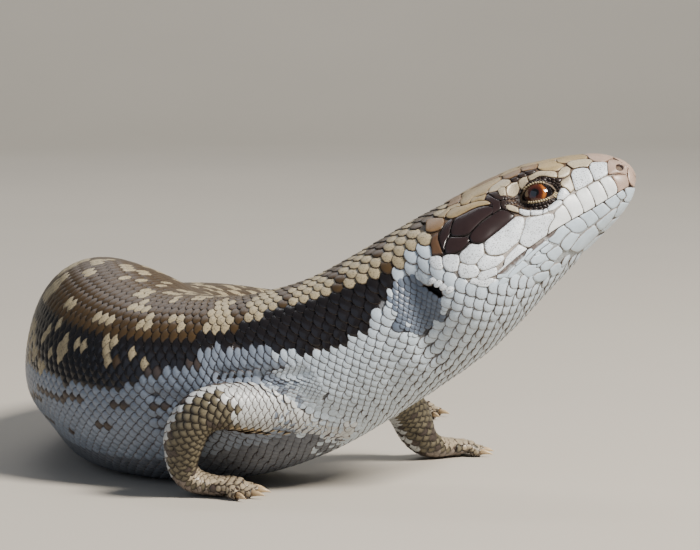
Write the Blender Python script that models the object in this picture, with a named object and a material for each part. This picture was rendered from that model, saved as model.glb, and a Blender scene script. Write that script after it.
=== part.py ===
"""A blue tongued skink, life size, head raised and belly down, as solid parts.

Units are metres and +Z is up. Sizes below are in millimetres. The animal faces +X.
Every shape hangs on one curved axis that runs from the snout (station 0) to the
tail tip (station 452). SPINE bends the axis and GIRTH gives the section at each
station. Neighbouring parts stop 0.3 mm short of each other.
"""

import math

import bmesh
import bpy
import numpy as np
from mathutils import Matrix, Vector

MM = 0.001
GAP = 0.3
SNOUT = (64.9, -12.0, 70.4)
REST_FROM = 122.0
SETTLE_FROM = 60.0
SINK = 0.5
STEP = 1.0

# Station, heading toward the tail (degrees, 0 is -X, 90 is +Y), fall of the axis.
SPINE = (
    (-1.0, -3, 31),
    (60.0, -2, 31),
    (75.0, 6, 30),
    (92.0, 17, 24),
    (108.0, 28, 11),
    (122.0, 41, 2),
    (136.0, 60, 0),
    (152.0, 82, 0),
    (168.0, 96, 0),
    (195.0, 102, 0),
    (220.0, 111, 0),
    (250.0, 118, 0),
    (280.0, 112, 0),
    (310.0, 99, 0),
    (340.0, 80, 0),
    (370.0, 62, 0),
    (400.0, 50, 0),
    (430.0, 42, 0),
    (452.0, 40, 0),
)

# Station, half width, height above the axis, depth below it, and how square
# the section is above and below (2 is an ellipse).
GIRTH = (
    (-0.6, 1.2, 3.0, -1.0, 2.0, 2.0),
    (0.0, 3.4, 4.3, 0.2, 2.2, 2.0),
    (1.5, 5.6, 6.4, 2.1, 2.2, 2.0),
    (4.5, 7.6, 9.1, 4.3, 2.3, 2.0),
    (9.0, 9.6, 11.5, 6.1, 2.4, 2.0),
    (16.0, 12.0, 14.2, 7.9, 2.5, 2.0),
    (23.0, 14.6, 16.2, 9.9, 2.5, 2.0),
    (32.0, 18.2, 17.2, 12.4, 2.4, 2.0),
    (41.0, 21.0, 17.5, 15.0, 2.3, 2.0),
    (49.0, 21.8, 17.9, 16.7, 2.2, 2.0),
    (58.0, 20.6, 18.0, 17.6, 2.1, 2.0),
    (72.0, 19.6, 18.1, 18.5, 2.1, 2.0),
    (90.0, 21.0, 19.9, 20.0, 2.1, 2.1),
    (108.0, 23.5, 21.8, 20.6, 2.2, 2.4),
    (125.0, 25.0, 23.0, 20.5, 2.2, 2.5),
    (150.0, 24.8, 27.6, 20.5, 2.0, 2.6),
    (172.0, 25.2, 26.5, 20.0, 2.18, 2.6),
    (200.0, 26.0, 20.8, 18.0, 2.2, 2.65),
    (230.0, 25.0, 20.0, 16.5, 2.2, 2.6),
    (260.0, 20.5, 18.0, 14.5, 2.2, 2.5),
    (285.0, 17.0, 15.5, 12.5, 2.1, 2.3),
    (310.0, 14.0, 12.5, 11.0, 2.0, 2.1),
    (350.0, 11.0, 9.6, 8.6, 2.0, 2.0),
    (400.0, 7.0, 6.2, 5.6, 2.0, 2.0),
    (440.0, 2.8, 2.5, 2.3, 2.0, 2.0),
    (452.0, 0.9, 0.9, 0.8, 2.0, 2.0),
)

# Swellings of the head: station, angle from the side (90 is the crown),
# reach along, reach round (degrees), amount. Both sides get each one.
SWELLINGS = (
    (20.0, 58.0, 6.5, 13.0, 0.7),
    (22.0, 28.0, 3.6, 14.0, 0.5),
    (12.5, 30.0, 3.6, 16.0, -0.5),
    (33.0, 22.0, 6.0, 16.0, -0.5),
    (45.0, -18.0, 8.0, 24.0, 0.9),
    (57.0, 4.0, 5.0, 26.0, -0.8),
    (4.0, 18.0, 3.0, 20.0, 0.4),
)

# Lean of the hump in the back's bend: station, angle from the left side over the
# crown, reach along, reach round (degrees), amount. These are on one side only.
LEAN = (
    (158.0, 122.6, 15.0, 31.5, 3.1),
    (168.0, 62.1, 18.0, 26.0, -3.1),
    (152.0, 216.0, 20.0, 22.0, -3.3),
)

# Line of the mouth and the back of the jaw in the head: station, height.
MOUTH = (
    (-4.0, -0.95),
    (2.5, -1.05),
    (9.0, -0.4),
    (16.0, 0.3),
    (24.0, 0.6),
    (32.5, 0.3),
    (41.0, -1.6),
    (44.5, -8.0),
    (46.0, -26.0),
)

EYE_STATION, EYE_ACROSS, EYE_UP = 21.6, 8.4, 8.3
EYE_RADIUS = 3.9
EYE_TILT = 30.0
EYE_OPENING = (3.7, 2.3)
NOSTRIL = (2.2, 4.4, 0.8)
EAR = (52.2, 3.5, 1.1, 3.2, 2.4)
EAR_LEAN = 32.0

# Lengths of the body between thin cuts: name, start, end, points round, spacing.
LENGTHS = (
    ("neck", 60.0, 84.0, 34, 4.8),
    ("chest", 84.0, 126.0, 34, 6.0),
    ("trunk_middle", 126.0, 184.0, 34, 6.4),
    ("trunk_rear", 184.0, 246.0, 32, 7.8),
    ("hips", 246.0, 288.0, 30, 7.0),
    ("tail_base", 288.0, 340.0, 24, 7.4),
    ("tail_middle", 340.0, 396.0, 18, 8.0),
    ("tail_tip", 396.0, 451.8, 14, 8.0),
)

# Each leg: root inside the body, elbow or knee, wrist or ankle, end of the palm.
FORE_RIGHT = ((0.0, -21.0, 18.0), (-35.5, -35.5, 21.5), (-38.5, -28.5, 3.4), (-28.0, -29.0, 2.1))
FORE_LEFT = ((-10.0, 3.0, 19.0), (12.5, 22.0, 16.5), (17.5, 26.0, 3.3), (24.8, 33.2, 2.1))
HIND_STATION = 266.0
HIND = ((2.0, 6.0, 15.5), (8.0, 34.0, 20.0), (2.0, 39.0, 3.4), (10.0, 46.5, 2.2))
BEND = (0.5, 0.36)

# The right foreleg's solid starts this far along its path, still inside the chest,
# because its root reaches below the neck.
FORE_RIGHT_START = 9.0

# Share of the path, half width, half thickness.
ARM_GIRTH = (
    (0.0, 6.0, 7.2),
    (0.30, 5.4, 6.1),
    (0.55, 5.2, 5.2),
    (0.70, 4.9, 4.8),
    (0.80, 4.5, 3.6),
    (0.92, 4.8, 2.6),
    (1.0, 4.2, 2.2),
)
THIGH_GIRTH = (
    (0.0, 7.8, 8.0),
    (0.25, 7.0, 7.2),
    (0.50, 5.6, 5.5),
    (0.68, 4.5, 4.4),
    (0.80, 4.2, 3.4),
    (0.92, 4.9, 2.6),
    (1.0, 4.4, 2.3),
)

# Toes: turn from the foot's line (degrees, + is outward), set across, length.
FORE_TOES = ((-50, -3.4, 4.6), (-24, -2.1, 6.6), (-3, -0.2, 7.4), (18, 1.8, 7.0), (46, 3.4, 5.0))
HIND_TOES = ((-46, -3.4, 4.8), (-24, -2.1, 7.2), (-6, -0.4, 9.0), (14, 1.6, 10.4), (44, 3.3, 6.4))
TOE_RADIUS = 1.3
CLAW_LENGTH = 2.6
CLAW_RADIUS = 0.72

# Colour and roughness of each finish.
FINISHES = {
    "back_scales": ((0.20, 0.15, 0.10, 1.0), 0.38),
    "belly_scales": ((0.62, 0.62, 0.60, 1.0), 0.42),
    "eye": ((0.16, 0.05, 0.02, 1.0), 0.10),
    "horn": ((0.45, 0.36, 0.26, 1.0), 0.35),
}


def table_value(table, column, s):
    """A value read from a table by a smooth curve that never overshoots."""
    x = np.array([row[0] for row in table], float)
    y = np.array([row[column] for row in table], float)
    h = np.diff(x)
    d = np.diff(y) / h
    m = np.zeros(len(x))
    for i in range(1, len(x) - 1):
        if d[i - 1] * d[i] > 0:
            m[i] = 2 * d[i - 1] * d[i] / (d[i - 1] + d[i])
    m[0], m[-1] = d[0], d[-1]
    s = np.clip(s, x[0], x[-1])
    i = np.clip(np.searchsorted(x, s, side="right") - 1, 0, len(x) - 2)
    t = (s - x[i]) / h[i]
    rise = (1 + 2 * t) * (1 - t) ** 2 * y[i] + t * t * (3 - 2 * t) * y[i + 1]
    return rise + t * (1 - t) ** 2 * h[i] * m[i] + t * t * (t - 1) * h[i] * m[i + 1]


def walk_axis():
    """Stations and points of the axis, laid on the ground behind REST_FROM."""
    s = np.arange(-1.0, 452.0 + STEP, STEP)
    heading = np.radians(table_value(SPINE, 1, s))
    fall = np.radians(table_value(SPINE, 2, s))
    along = np.stack(
        [-np.cos(heading) * np.cos(fall), np.sin(heading) * np.cos(fall), -np.sin(fall)], -1
    )
    moves = 0.5 * (along[1:] + along[:-1]) * STEP
    points = np.vstack([np.zeros(3), np.cumsum(moves, axis=0)])
    points += np.array(SNOUT) - points[1]
    depth = table_value(GIRTH, 3, s) - SINK
    first = int(np.searchsorted(s, REST_FROM))
    miss = points[first, 2] - depth[first]
    ease = np.clip((s - SETTLE_FROM) / (REST_FROM - SETTLE_FROM), 0, 1)
    points[:, 2] -= miss * ease * ease * (3 - 2 * ease)
    points[first:, 2] = depth[first:]
    return s, points


AXIS_S, AXIS_P = walk_axis()


def frame_at(s):
    """Point of the axis, direction to the tail, to the left side, and up."""
    point = np.array([np.interp(s, AXIS_S, AXIS_P[:, k]) for k in range(3)])
    heading = math.radians(float(table_value(SPINE, 1, s)))
    fall = math.radians(float(table_value(SPINE, 2, s)))
    along = np.array(
        [
            -math.cos(heading) * math.cos(fall),
            math.sin(heading) * math.cos(fall),
            -math.sin(fall),
        ]
    )
    left = np.cross(along, (0.0, 0.0, 1.0))
    left /= np.linalg.norm(left)
    return point, along, left, np.cross(left, along)


def swelling_at(s, angle):
    """Extra reach of the head's surface at a station and angles (degrees)."""
    extra = np.zeros_like(angle)
    folded = np.where(angle > 90, 180 - angle, angle)
    folded = np.where(angle > 180, 180 - angle, folded)
    folded = np.where(angle > 270, angle - 360, folded)
    for at, around, reach, spread, amount in SWELLINGS:
        fall = ((s - at) / reach) ** 2 + ((folded - around) / spread) ** 2
        extra += amount * np.exp(-fall)
    return extra


def lean_at(s, angle):
    """Extra reach of the trunk's surface at a station and angles (degrees)."""
    extra = np.zeros_like(angle)
    for at, around, reach, spread, amount in LEAN:
        turn = (angle - around + 180) % 360 - 180
        fall = ((s - at) / reach) ** 2 + (turn / spread) ** 2
        extra += amount * np.exp(-fall)
    return extra


def section(s, count, grow=0.0):
    """One ring of points round the body at a station."""
    point, along, left, up = frame_at(s)
    half, above, below, square_up, square_down = (
        float(table_value(GIRTH, k, s)) for k in range(1, 6)
    )
    angle = np.linspace(0.0, 2 * math.pi, count, endpoint=False)
    c, v = np.cos(angle), np.sin(angle)
    power = np.where(v >= 0, square_up, square_down)
    reach = (np.abs(c) ** power + np.abs(v) ** power) ** (-1 / power)
    middle = 0.5 * (above - below) if below < 2.0 else 0.0
    top, bottom = above - middle, below + middle
    if s < 70:
        extra = swelling_at(s, np.degrees(angle)) * min(1.0, half / 6.0)
    else:
        extra = lean_at(s, np.degrees(angle))
    tall = np.where(v >= 0, top, bottom) + grow + extra
    ring = point + ((half + grow + extra) * reach * c)[:, None] * left
    ring = ring + (tall * reach * v + middle)[:, None] * up
    ring[:, 2] = np.maximum(ring[:, 2], -grow)
    return ring


def surface_across(s, height):
    """How far the head's surface is from its middle at a height."""
    ring = section(s, 720)
    point, _, left, up = frame_at(s)
    across, tall = (ring - point) @ left, (ring - point) @ up
    near = np.where(across > 0, np.abs(tall - height), 1e9)
    return float(across[int(np.argmin(near))])


def in_head(s, across, height):
    """A point given by station, distance to the left and height in the head."""
    point, _, left, up = frame_at(s)
    return point + across * left + height * up


def place_mesh(name, bm, finish, group):
    """An object from a mesh in millimetres, with its origin at its own middle."""
    bmesh.ops.recalc_face_normals(bm, faces=bm.faces)
    corners = np.array([v.co for v in bm.verts])
    middle = Vector((corners.min(axis=0) + corners.max(axis=0)) / 2)
    bm.transform(Matrix.Scale(MM, 4) @ Matrix.Translation(-middle))
    mesh = bpy.data.meshes.new(name)
    bm.to_mesh(mesh)
    bm.free()
    item = bpy.data.objects.new(name, mesh)
    item.location = middle * MM
    item.parent = ROOT
    group.objects.link(item)
    if finish:
        mesh.materials.append(make_material(name, finish))
        mesh.shade_smooth()
        mesh.set_sharp_from_angle(angle=math.radians(40))
    else:
        item.hide_render = True
        item.display_type = "WIRE"
    return item


def make_material(name, finish):
    """A Principled material of a part's own, in one of the named finishes."""
    colour, roughness = FINISHES[finish]
    material = bpy.data.materials.new(name + "_" + finish)
    material.use_nodes = True
    shader = material.node_tree.nodes["Principled BSDF"]
    shader.inputs["Base Color"].default_value = colour
    shader.inputs["Roughness"].default_value = roughness
    shader.inputs["Metallic"].default_value = 0.0
    return material


def loft(name, rings, finish, group):
    """A closed solid through rings of equal count, flat at both ends."""
    bm = bmesh.new()
    rows = [[bm.verts.new(p) for p in ring] for ring in rings]
    count = len(rows[0])
    bm.faces.new(rows[0])
    bm.faces.new(rows[-1])
    for a, b in zip(rows[:-1], rows[1:], strict=True):
        for j in range(count):
            k = (j + 1) % count
            bm.faces.new((a[j], a[k], b[k], b[j]))
    return place_mesh(name, bm, finish, group)


def ellipsoid(name, centre, axes, radii, rings, around, finish, group):
    """A sphere stretched along three directions of its own."""
    stretch = Matrix.Identity(4)
    for k in range(3):
        for row in range(3):
            stretch[row][k] = radii[k] * axes[k][row]
            stretch[row][3] = centre[row]
    bm = bmesh.new()
    bmesh.ops.create_uvsphere(bm, u_segments=around, v_segments=rings, radius=1.0, matrix=stretch)
    return place_mesh(name, bm, finish, group)


def prism(name, outline, depth, group):
    """A cutter with its outline in the head's middle plane, wide across."""
    bm = bmesh.new()
    face = bm.faces.new([bm.verts.new(in_head(s, depth, z)) for s, z in outline])
    grown = bmesh.ops.extrude_face_region(bm, geom=[face])["geom"]
    moved = [v for v in grown if isinstance(v, bmesh.types.BMVert)]
    _, _, left, _ = frame_at(30.0)
    bmesh.ops.translate(bm, verts=moved, vec=Vector(-2 * depth * left))
    return place_mesh(name, bm, None, group)


def add_boolean(item, cutter, operation):
    """A live exact Boolean against a hidden cutter."""
    step = item.modifiers.new(cutter.name, "BOOLEAN")
    step.operation = operation
    step.solver = "EXACT"
    step.object = cutter


def body_length(name, start, end, count, spacing, finish):
    """One length of the body between two thin flat cuts."""
    steps = max(2, round((end - start) / spacing))
    rings = [section(start + (end - start) * i / steps, count) for i in range(steps + 1)]
    rings[0] = rings[0] + GAP / 2 * frame_at(start)[1]
    rings[-1] = rings[-1] - GAP / 2 * frame_at(end)[1]
    for ring in rings:
        ring[:, 2] = np.maximum(ring[:, 2], 0.0)
    return loft(name, rings, finish, PARTS)


def head_rings():
    """Rings of the whole head, close together at the snout."""
    stations = [-0.6, -0.3, 0.3, 1.4, 3.0, 5.0, 8.0, 11.5, 15.0, 18.5, 22.0, 25.5]
    stations += [29.5, 34.0, 38.5, 43.0, 47.5, 52.0, 56.0, 60.0 - GAP / 2]
    return [section(s, 34) for s in stations]


def jaw_outline(shift):
    """Outline under the mouth line, moved up or down by half the gap."""
    line = [(s + (shift if s > 40 else 0.0), z + shift) for s, z in MOUTH]
    return line + [(line[-1][0], -40.0), (-4.0, -40.0)]


def eye_axes(side):
    """Directions of the eye: along the head, across its opening, and outward."""
    _, along, left, up = frame_at(EYE_STATION)
    tilt = math.radians(EYE_TILT)
    out = side * math.cos(tilt) * left + math.sin(tilt) * up
    return along, np.cross(out, along), out


def make_eye(label, side):
    """The eyeball, and one cutter for its socket and the opening of its lids."""
    centre = in_head(EYE_STATION, side * EYE_ACROSS, EYE_UP)
    axes = eye_axes(side)
    radii = (EYE_RADIUS,) * 3
    ellipsoid("eye_" + label, centre, axes, radii, 8, 16, "eye", PARTS)
    room = EYE_RADIUS + 1.15 * GAP
    long_way, tall = EYE_OPENING
    turn = np.linspace(0, 2 * math.pi, 16, endpoint=False)
    rings = []
    for share in (-0.98, -0.8, -0.45, 0.0, 0.35, 0.6, 0.79, 2.2):
        round_part = room * math.sqrt(max(0.0, 1 - share * share))
        wide = round_part if share < 0.5 else long_way
        high = round_part if share < 0.7 else tall
        ring = centre + share * room * axes[2] + (wide * np.cos(turn))[:, None] * axes[0]
        rings.append(ring + (high * np.sin(turn))[:, None] * axes[1])
    return loft("cut_socket_" + label, rings, None, CUTTERS)


def ear_cutter(label, side):
    """The slanted slit of the ear."""
    s, height, wide, tall, deep = EAR
    _, along, left, up = frame_at(s)
    lean = math.radians(EAR_LEAN)
    long_way = math.cos(lean) * up + math.sin(lean) * along
    out = side * left
    axes = (np.cross(long_way, out), long_way, out)
    centre = in_head(s, side * (surface_across(s, height) - 0.2), height)
    return ellipsoid("cut_ear_" + label, centre, axes, (wide, tall, deep), 6, 10, None, CUTTERS)


def nostril_cutter(label, side):
    """The round opening of a nostril."""
    s, height, radius = NOSTRIL
    _, along, left, up = frame_at(s)
    centre = in_head(s, side * surface_across(s, height), height)
    return ellipsoid(
        "cut_nostril_" + label, centre, (along, up, left), (radius,) * 3, 6, 10, None, CUTTERS
    )


def make_head():
    """Skull and upper jaw with eye sockets, nostrils and ears, and the lower jaw."""
    head = loft("head", head_rings(), "back_scales", PARTS)
    jaw = loft("lower_jaw", head_rings(), "belly_scales", PARTS)
    add_boolean(head, prism("cut_above_jaw", jaw_outline(GAP / 2), 40.0, CUTTERS), "DIFFERENCE")
    add_boolean(jaw, prism("cut_below_head", jaw_outline(-GAP / 2), 40.0, CUTTERS), "INTERSECT")
    for label, side in (("left", 1), ("right", -1)):
        socket = make_eye(label, side)
        for cutter in (socket, ear_cutter(label, side), nostril_cutter(label, side)):
            add_boolean(head, cutter, "DIFFERENCE")


def make_body():
    """Neck, chest, trunk, hips and tail in short lengths."""
    for name, start, end, count, spacing in LENGTHS:
        finish = "belly_scales" if name == "chest" else "back_scales"
        body_length(name, start, end, count, spacing, finish)


def rounded_path(corners, shares, step):
    """Points along straight runs joined by smooth bends, with their shares."""
    pts = [np.array(p, float) for p in corners]
    shin = np.linalg.norm(pts[2] - pts[1])
    trims = [share * shin for share in shares]
    points = [pts[0]]
    for i in (1, 2):
        back = pts[i - 1] - pts[i]
        ahead = pts[i + 1] - pts[i]
        a = pts[i] + trims[i - 1] * back / np.linalg.norm(back)
        b = pts[i] + trims[i - 1] * ahead / np.linalg.norm(ahead)
        for t in np.linspace(0, 1, 13):
            points.append((1 - t) ** 2 * a + 2 * t * (1 - t) * pts[i] + t * t * b)
    points.append(pts[3])
    points = np.array(points)
    run = np.concatenate([[0], np.cumsum(np.linalg.norm(np.diff(points, axis=0), axis=1))])
    even = np.linspace(0, run[-1], int(run[-1] / step) + 1)
    return np.stack([np.interp(even, run, points[:, k]) for k in range(3)], -1), even


def carry_frames(points):
    """Directions across and through the limb, carried from the flat foot back."""
    along = np.gradient(points, axis=0)
    along /= np.linalg.norm(along, axis=1)[:, None]
    wide = np.zeros_like(points)
    side = np.cross(along[-1], (0.0, 0.0, 1.0))
    for i in range(len(points) - 1, -1, -1):
        side = side - (side @ along[i]) * along[i]
        side /= np.linalg.norm(side)
        wide[i] = side
    return along, wide, np.cross(wide, along)


class Limb:
    """The path, directions and girth of one leg."""

    def __init__(self, corners, girth):
        self.points, self.run = rounded_path(corners, BEND, 0.5)
        self.along, self.wide, self.thick = carry_frames(self.points)
        self.girth = girth
        spots = [np.linalg.norm(self.points - np.array(c), axis=1) for c in corners]
        self.marks = [self.run[int(np.argmin(d))] for d in spots]

    def along_at(self, run):
        """Direction of the path at a distance along it."""
        way = np.array([np.interp(run, self.run, self.along[:, k]) for k in range(3)])
        return way / np.linalg.norm(way)

    def ring(self, run, count):
        """One ring of the leg at a distance along its path."""
        share = run / self.run[-1]
        half = float(table_value(self.girth, 1, share))
        tall = float(table_value(self.girth, 2, share))
        pick = [np.array([np.interp(run, self.run, a[:, k]) for k in range(3)])
                for a in (self.points, self.wide, self.thick)]
        turn = np.linspace(0, 2 * math.pi, count, endpoint=False)
        ring = pick[0] + (half * np.cos(turn))[:, None] * pick[1]
        return ring + (tall * np.sin(turn))[:, None] * pick[2]

    def piece(self, name, start, end, count, finish, group):
        """A solid length of the leg."""
        steps = max(2, round((end - start) / 3.2))
        rings = [self.ring(start + (end - start) * i / steps, count) for i in range(steps + 1)]
        rings[0] = rings[0] + GAP / 2 * self.along_at(start)
        rings[-1] = rings[-1] - GAP / 2 * self.along_at(end)
        return loft(name, rings, finish, group)


def toe_path(limb, turn, across, length, mirror):
    """Start, knuckle and end of a toe, and its flat direction."""
    end, along = limb.points[-1], limb.along[-1].copy()
    along[2] = 0.0
    along /= np.linalg.norm(along)
    side = np.cross(along, (0.0, 0.0, 1.0)) * mirror
    angle = math.radians(turn)
    way = math.cos(angle) * along + math.sin(angle) * side
    root = end + across * side - 2.4 * along
    root[2] = 2.3
    knuckle = end + across * side + 0.42 * length * way
    knuckle[2] = 2.6
    tip = end + across * side + length * way
    tip[2] = 1.2
    return root, knuckle, tip, way


def tube(name, points, radii, count, finish, group):
    """A round tapering tube through a few points."""
    points = np.array(points)
    along = np.gradient(points, axis=0)
    rings = []
    for p, a, r in zip(points, along, radii, strict=True):
        a = a / np.linalg.norm(a)
        side = np.cross(a, (0.0, 0.0, 1.0))
        side /= np.linalg.norm(side)
        up = np.cross(side, a)
        turn = np.linspace(0, 2 * math.pi, count, endpoint=False)
        rings.append(p + r * (np.cos(turn)[:, None] * side + np.sin(turn)[:, None] * up))
    return loft(name, rings, finish, group)


def make_toes(foot, limb, label, toes, mirror):
    """Five toes joined to the foot, and a claw just ahead of each."""
    for i, (turn, across, length) in enumerate(toes, start=1):
        root, knuckle, tip, way = toe_path(limb, turn, across, length, mirror)
        middle = tip - 0.28 * length * way
        middle[2] = 1.36
        radii = (TOE_RADIUS + 0.2, TOE_RADIUS + 0.1, TOE_RADIUS, TOE_RADIUS - 0.25)
        piece = tube(
            f"cut_toe_{label}_{i}", (root, knuckle, middle, tip), radii, 8, None, CUTTERS
        )
        add_boolean(foot, piece, "UNION")
        way = (tip - middle) / np.linalg.norm(tip - middle)
        start = tip + GAP * way
        drops = ((0.0, 0.0), (0.5, 0.0), (1.0, 0.2))
        path = [start + CLAW_LENGTH * f * way - np.array([0, 0, d]) for f, d in drops]
        radii = (CLAW_RADIUS, 0.52, 0.27)
        tube(f"claw_{label}_{i}", path, radii, 6, "horn", PARTS)


def make_leg(label, corners, girth, toes, mirror, body_cutter, floor, start=0.0):
    """Upper leg, lower leg, foot with toes, and claws."""
    limb = Limb(corners, girth)
    _, knee, ankle, end = limb.marks
    upper = limb.piece(f"{label}_upper", start, knee, 12, "belly_scales", PARTS)
    lower = limb.piece(f"{label}_lower", knee, ankle, 12, "back_scales", PARTS)
    foot = limb.piece(f"{label}_foot", ankle, end, 12, "back_scales", PARTS)
    for item in (upper, lower):
        add_boolean(item, body_cutter, "DIFFERENCE")
    make_toes(foot, limb, label, toes, mirror)
    add_boolean(foot, floor, "DIFFERENCE")


def hind_corners(side):
    """Corners of a hind leg, set from the hips outward on one side."""
    point, along, left, _ = frame_at(HIND_STATION)
    ahead = -along
    corners = []
    for forward, outward, height in HIND:
        spot = point + forward * ahead + side * outward * left
        corners.append((spot[0], spot[1], height))
    return corners


def make_floor():
    """A deep slab below the ground that levels the soles."""
    bm = bmesh.new()
    bmesh.ops.create_cube(bm, size=1.0, matrix=Matrix.Diagonal((600.0, 800.0, 20.0, 1.0)))
    bmesh.ops.translate(bm, verts=bm.verts, vec=Vector((0.0, 100.0, -10.0)))
    return place_mesh("cut_floor", bm, None, CUTTERS)


def make_legs():
    """The four legs, cut clear of the body and level with the ground."""
    near = [section(s, 36, grow=GAP) for s in np.arange(60.0, 166.0, 5.3)]
    rear = [section(s, 34, grow=GAP) for s in np.arange(230.0, 310.0, 6.0)]
    front_body = loft("cut_front_body", near, None, CUTTERS)
    rear_body = loft("cut_rear_body", rear, None, CUTTERS)
    floor = make_floor()
    make_leg(
        "fore_right", FORE_RIGHT, ARM_GIRTH, FORE_TOES, 1, front_body, floor, FORE_RIGHT_START
    )
    make_leg("fore_left", FORE_LEFT, ARM_GIRTH, FORE_TOES, -1, front_body, floor)
    make_leg("hind_right", hind_corners(-1), THIGH_GIRTH, HIND_TOES, 1, rear_body, floor)
    make_leg("hind_left", hind_corners(1), THIGH_GIRTH, HIND_TOES, -1, rear_body, floor)


def centre_on_origin():
    """Set the root so that the bottom centre of the whole box is the origin."""
    bpy.context.view_layer.update()
    graph = bpy.context.evaluated_depsgraph_get()
    corners = []
    for item in PARTS.objects:
        if item.type == "MESH":
            placed = item.evaluated_get(graph)
            corners += [placed.matrix_world @ v.co for v in placed.data.vertices]
    every = np.array(corners)
    low, high = every.min(axis=0), every.max(axis=0)
    ROOT.location = (-(low[0] + high[0]) / 2, -(low[1] + high[1]) / 2, -low[2])


for old in list(bpy.data.objects):
    bpy.data.objects.remove(old, do_unlink=True)

PARTS = bpy.data.collections.new("blue_tongued_skink")
CUTTERS = bpy.data.collections.new("cutters")
bpy.context.scene.collection.children.link(PARTS)
bpy.context.scene.collection.children.link(CUTTERS)
ROOT = bpy.data.objects.new("skink_root", None)
PARTS.objects.link(ROOT)
make_head()
make_body()
make_legs()
centre_on_origin()
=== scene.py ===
"""Looks of a life-size blue tongued skink: skin, scales, head shields, eyes and claws.

Shapes are worked out in millimetres on the same body plan as the solids and turned
to metres when a mesh is made. The animal faces +X and its right side faces -Y.
Stations run along the body from the snout (0) to the tail tip (452). A place round
the body is a share: 0 on the crown, 1 and -1 under the belly, + on the right side.
"""

import logging
import math
from dataclasses import dataclass, field
from enum import Enum

import bmesh
import bpy
import numpy as np
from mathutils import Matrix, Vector
from mathutils.bvhtree import BVHTree
from mathutils.kdtree import KDTree


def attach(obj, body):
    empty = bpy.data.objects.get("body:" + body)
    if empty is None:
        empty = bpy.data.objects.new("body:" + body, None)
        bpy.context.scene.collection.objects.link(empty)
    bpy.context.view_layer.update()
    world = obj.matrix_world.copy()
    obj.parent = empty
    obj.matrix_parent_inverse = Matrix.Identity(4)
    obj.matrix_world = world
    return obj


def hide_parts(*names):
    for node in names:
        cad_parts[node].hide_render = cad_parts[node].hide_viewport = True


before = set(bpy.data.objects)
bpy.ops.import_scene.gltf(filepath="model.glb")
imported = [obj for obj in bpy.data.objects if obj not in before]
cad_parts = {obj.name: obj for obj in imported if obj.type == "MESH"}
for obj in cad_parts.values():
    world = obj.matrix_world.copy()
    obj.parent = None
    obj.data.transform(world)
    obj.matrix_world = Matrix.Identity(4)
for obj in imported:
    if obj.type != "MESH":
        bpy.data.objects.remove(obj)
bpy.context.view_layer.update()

LOG = logging.getLogger("skink")

MM = 0.001
ROOT_SHIFT = np.array((8.609, -129.0, 0.0))
SKIN_DEPTH = 0.45
RNG = np.random.default_rng(17)

SNOUT = (64.9, -12.0, 70.4)
REST_FROM, SETTLE_FROM, SINK = 122.0, 60.0, 0.5
LAST = 452.0

# Station, heading toward the tail (degrees, 0 is -X, 90 is +Y), fall of the axis.
SPINE = (
    (-1, -3, 31), (60, -2, 31), (75, 6, 30), (92, 17, 24), (108, 28, 11), (122, 41, 2),
    (136, 60, 0), (152, 82, 0), (168, 96, 0), (195, 102, 0), (220, 111, 0), (250, 118, 0),
    (280, 112, 0), (310, 99, 0), (340, 80, 0), (370, 62, 0), (400, 50, 0), (430, 42, 0),
    (452, 40, 0),
)

# Station, half width, height above the axis, depth below it, squareness above and below.
GIRTH = (
    (-0.6, 1.2, 3.0, -1.0, 2.0, 2.0), (0, 3.4, 4.3, 0.2, 2.2, 2.0), (1.5, 5.6, 6.4, 2.1, 2.2, 2.0),
    (4.5, 7.6, 9.1, 4.3, 2.3, 2.0), (9, 9.6, 11.5, 6.1, 2.4, 2.0), (16, 12.0, 14.2, 7.9, 2.5, 2.0),
    (23, 14.6, 16.2, 9.9, 2.5, 2.0), (32, 18.2, 17.2, 12.4, 2.4, 2.0), (41, 21.0, 17.5, 15.0, 2.3, 2.0),
    (49, 21.8, 17.9, 16.7, 2.2, 2.0), (58, 20.6, 18.0, 17.6, 2.1, 2.0), (72, 19.6, 18.1, 18.5, 2.1, 2.0),
    (90, 21.0, 19.9, 20.0, 2.1, 2.1), (108, 23.5, 21.8, 20.6, 2.2, 2.4), (125, 25.0, 23.0, 20.5, 2.2, 2.5),
    (150, 24.8, 27.6, 20.5, 2.0, 2.6), (172, 25.2, 26.5, 20.0, 2.18, 2.6), (200, 26.0, 20.8, 18.0, 2.2, 2.65),
    (230, 25.0, 20.0, 16.5, 2.2, 2.6), (260, 20.5, 18.0, 14.5, 2.2, 2.5), (285, 17.0, 15.5, 12.5, 2.1, 2.3),
    (310, 14.0, 12.5, 11.0, 2.0, 2.1), (350, 11.0, 9.6, 8.6, 2.0, 2.0), (400, 7.0, 6.2, 5.6, 2.0, 2.0),
    (440, 2.8, 2.5, 2.3, 2.0, 2.0), (452, 0.9, 0.9, 0.8, 2.0, 2.0),
)

# Swellings of the head: station, angle from the side, reach along, reach round, amount.
SWELLINGS = (
    (20.0, 58.0, 6.5, 13.0, 0.7), (22.0, 28.0, 3.6, 14.0, 0.5), (12.5, 30.0, 3.6, 16.0, -0.5),
    (33.0, 22.0, 6.0, 16.0, -0.5), (45.0, -18.0, 8.0, 24.0, 0.9), (57.0, 4.0, 5.0, 26.0, -0.8),
    (4.0, 18.0, 3.0, 20.0, 0.4),
)

# Lean of the hump in the back's bend, on one side only: station, angle from the left
# side over the crown, reach along, reach round, amount.
LEAN = ((158.0, 122.6, 15.0, 31.5, 3.1), (168.0, 62.1, 18.0, 26.0, -3.1), (152.0, 216.0, 20.0, 22.0, -3.3))

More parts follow.
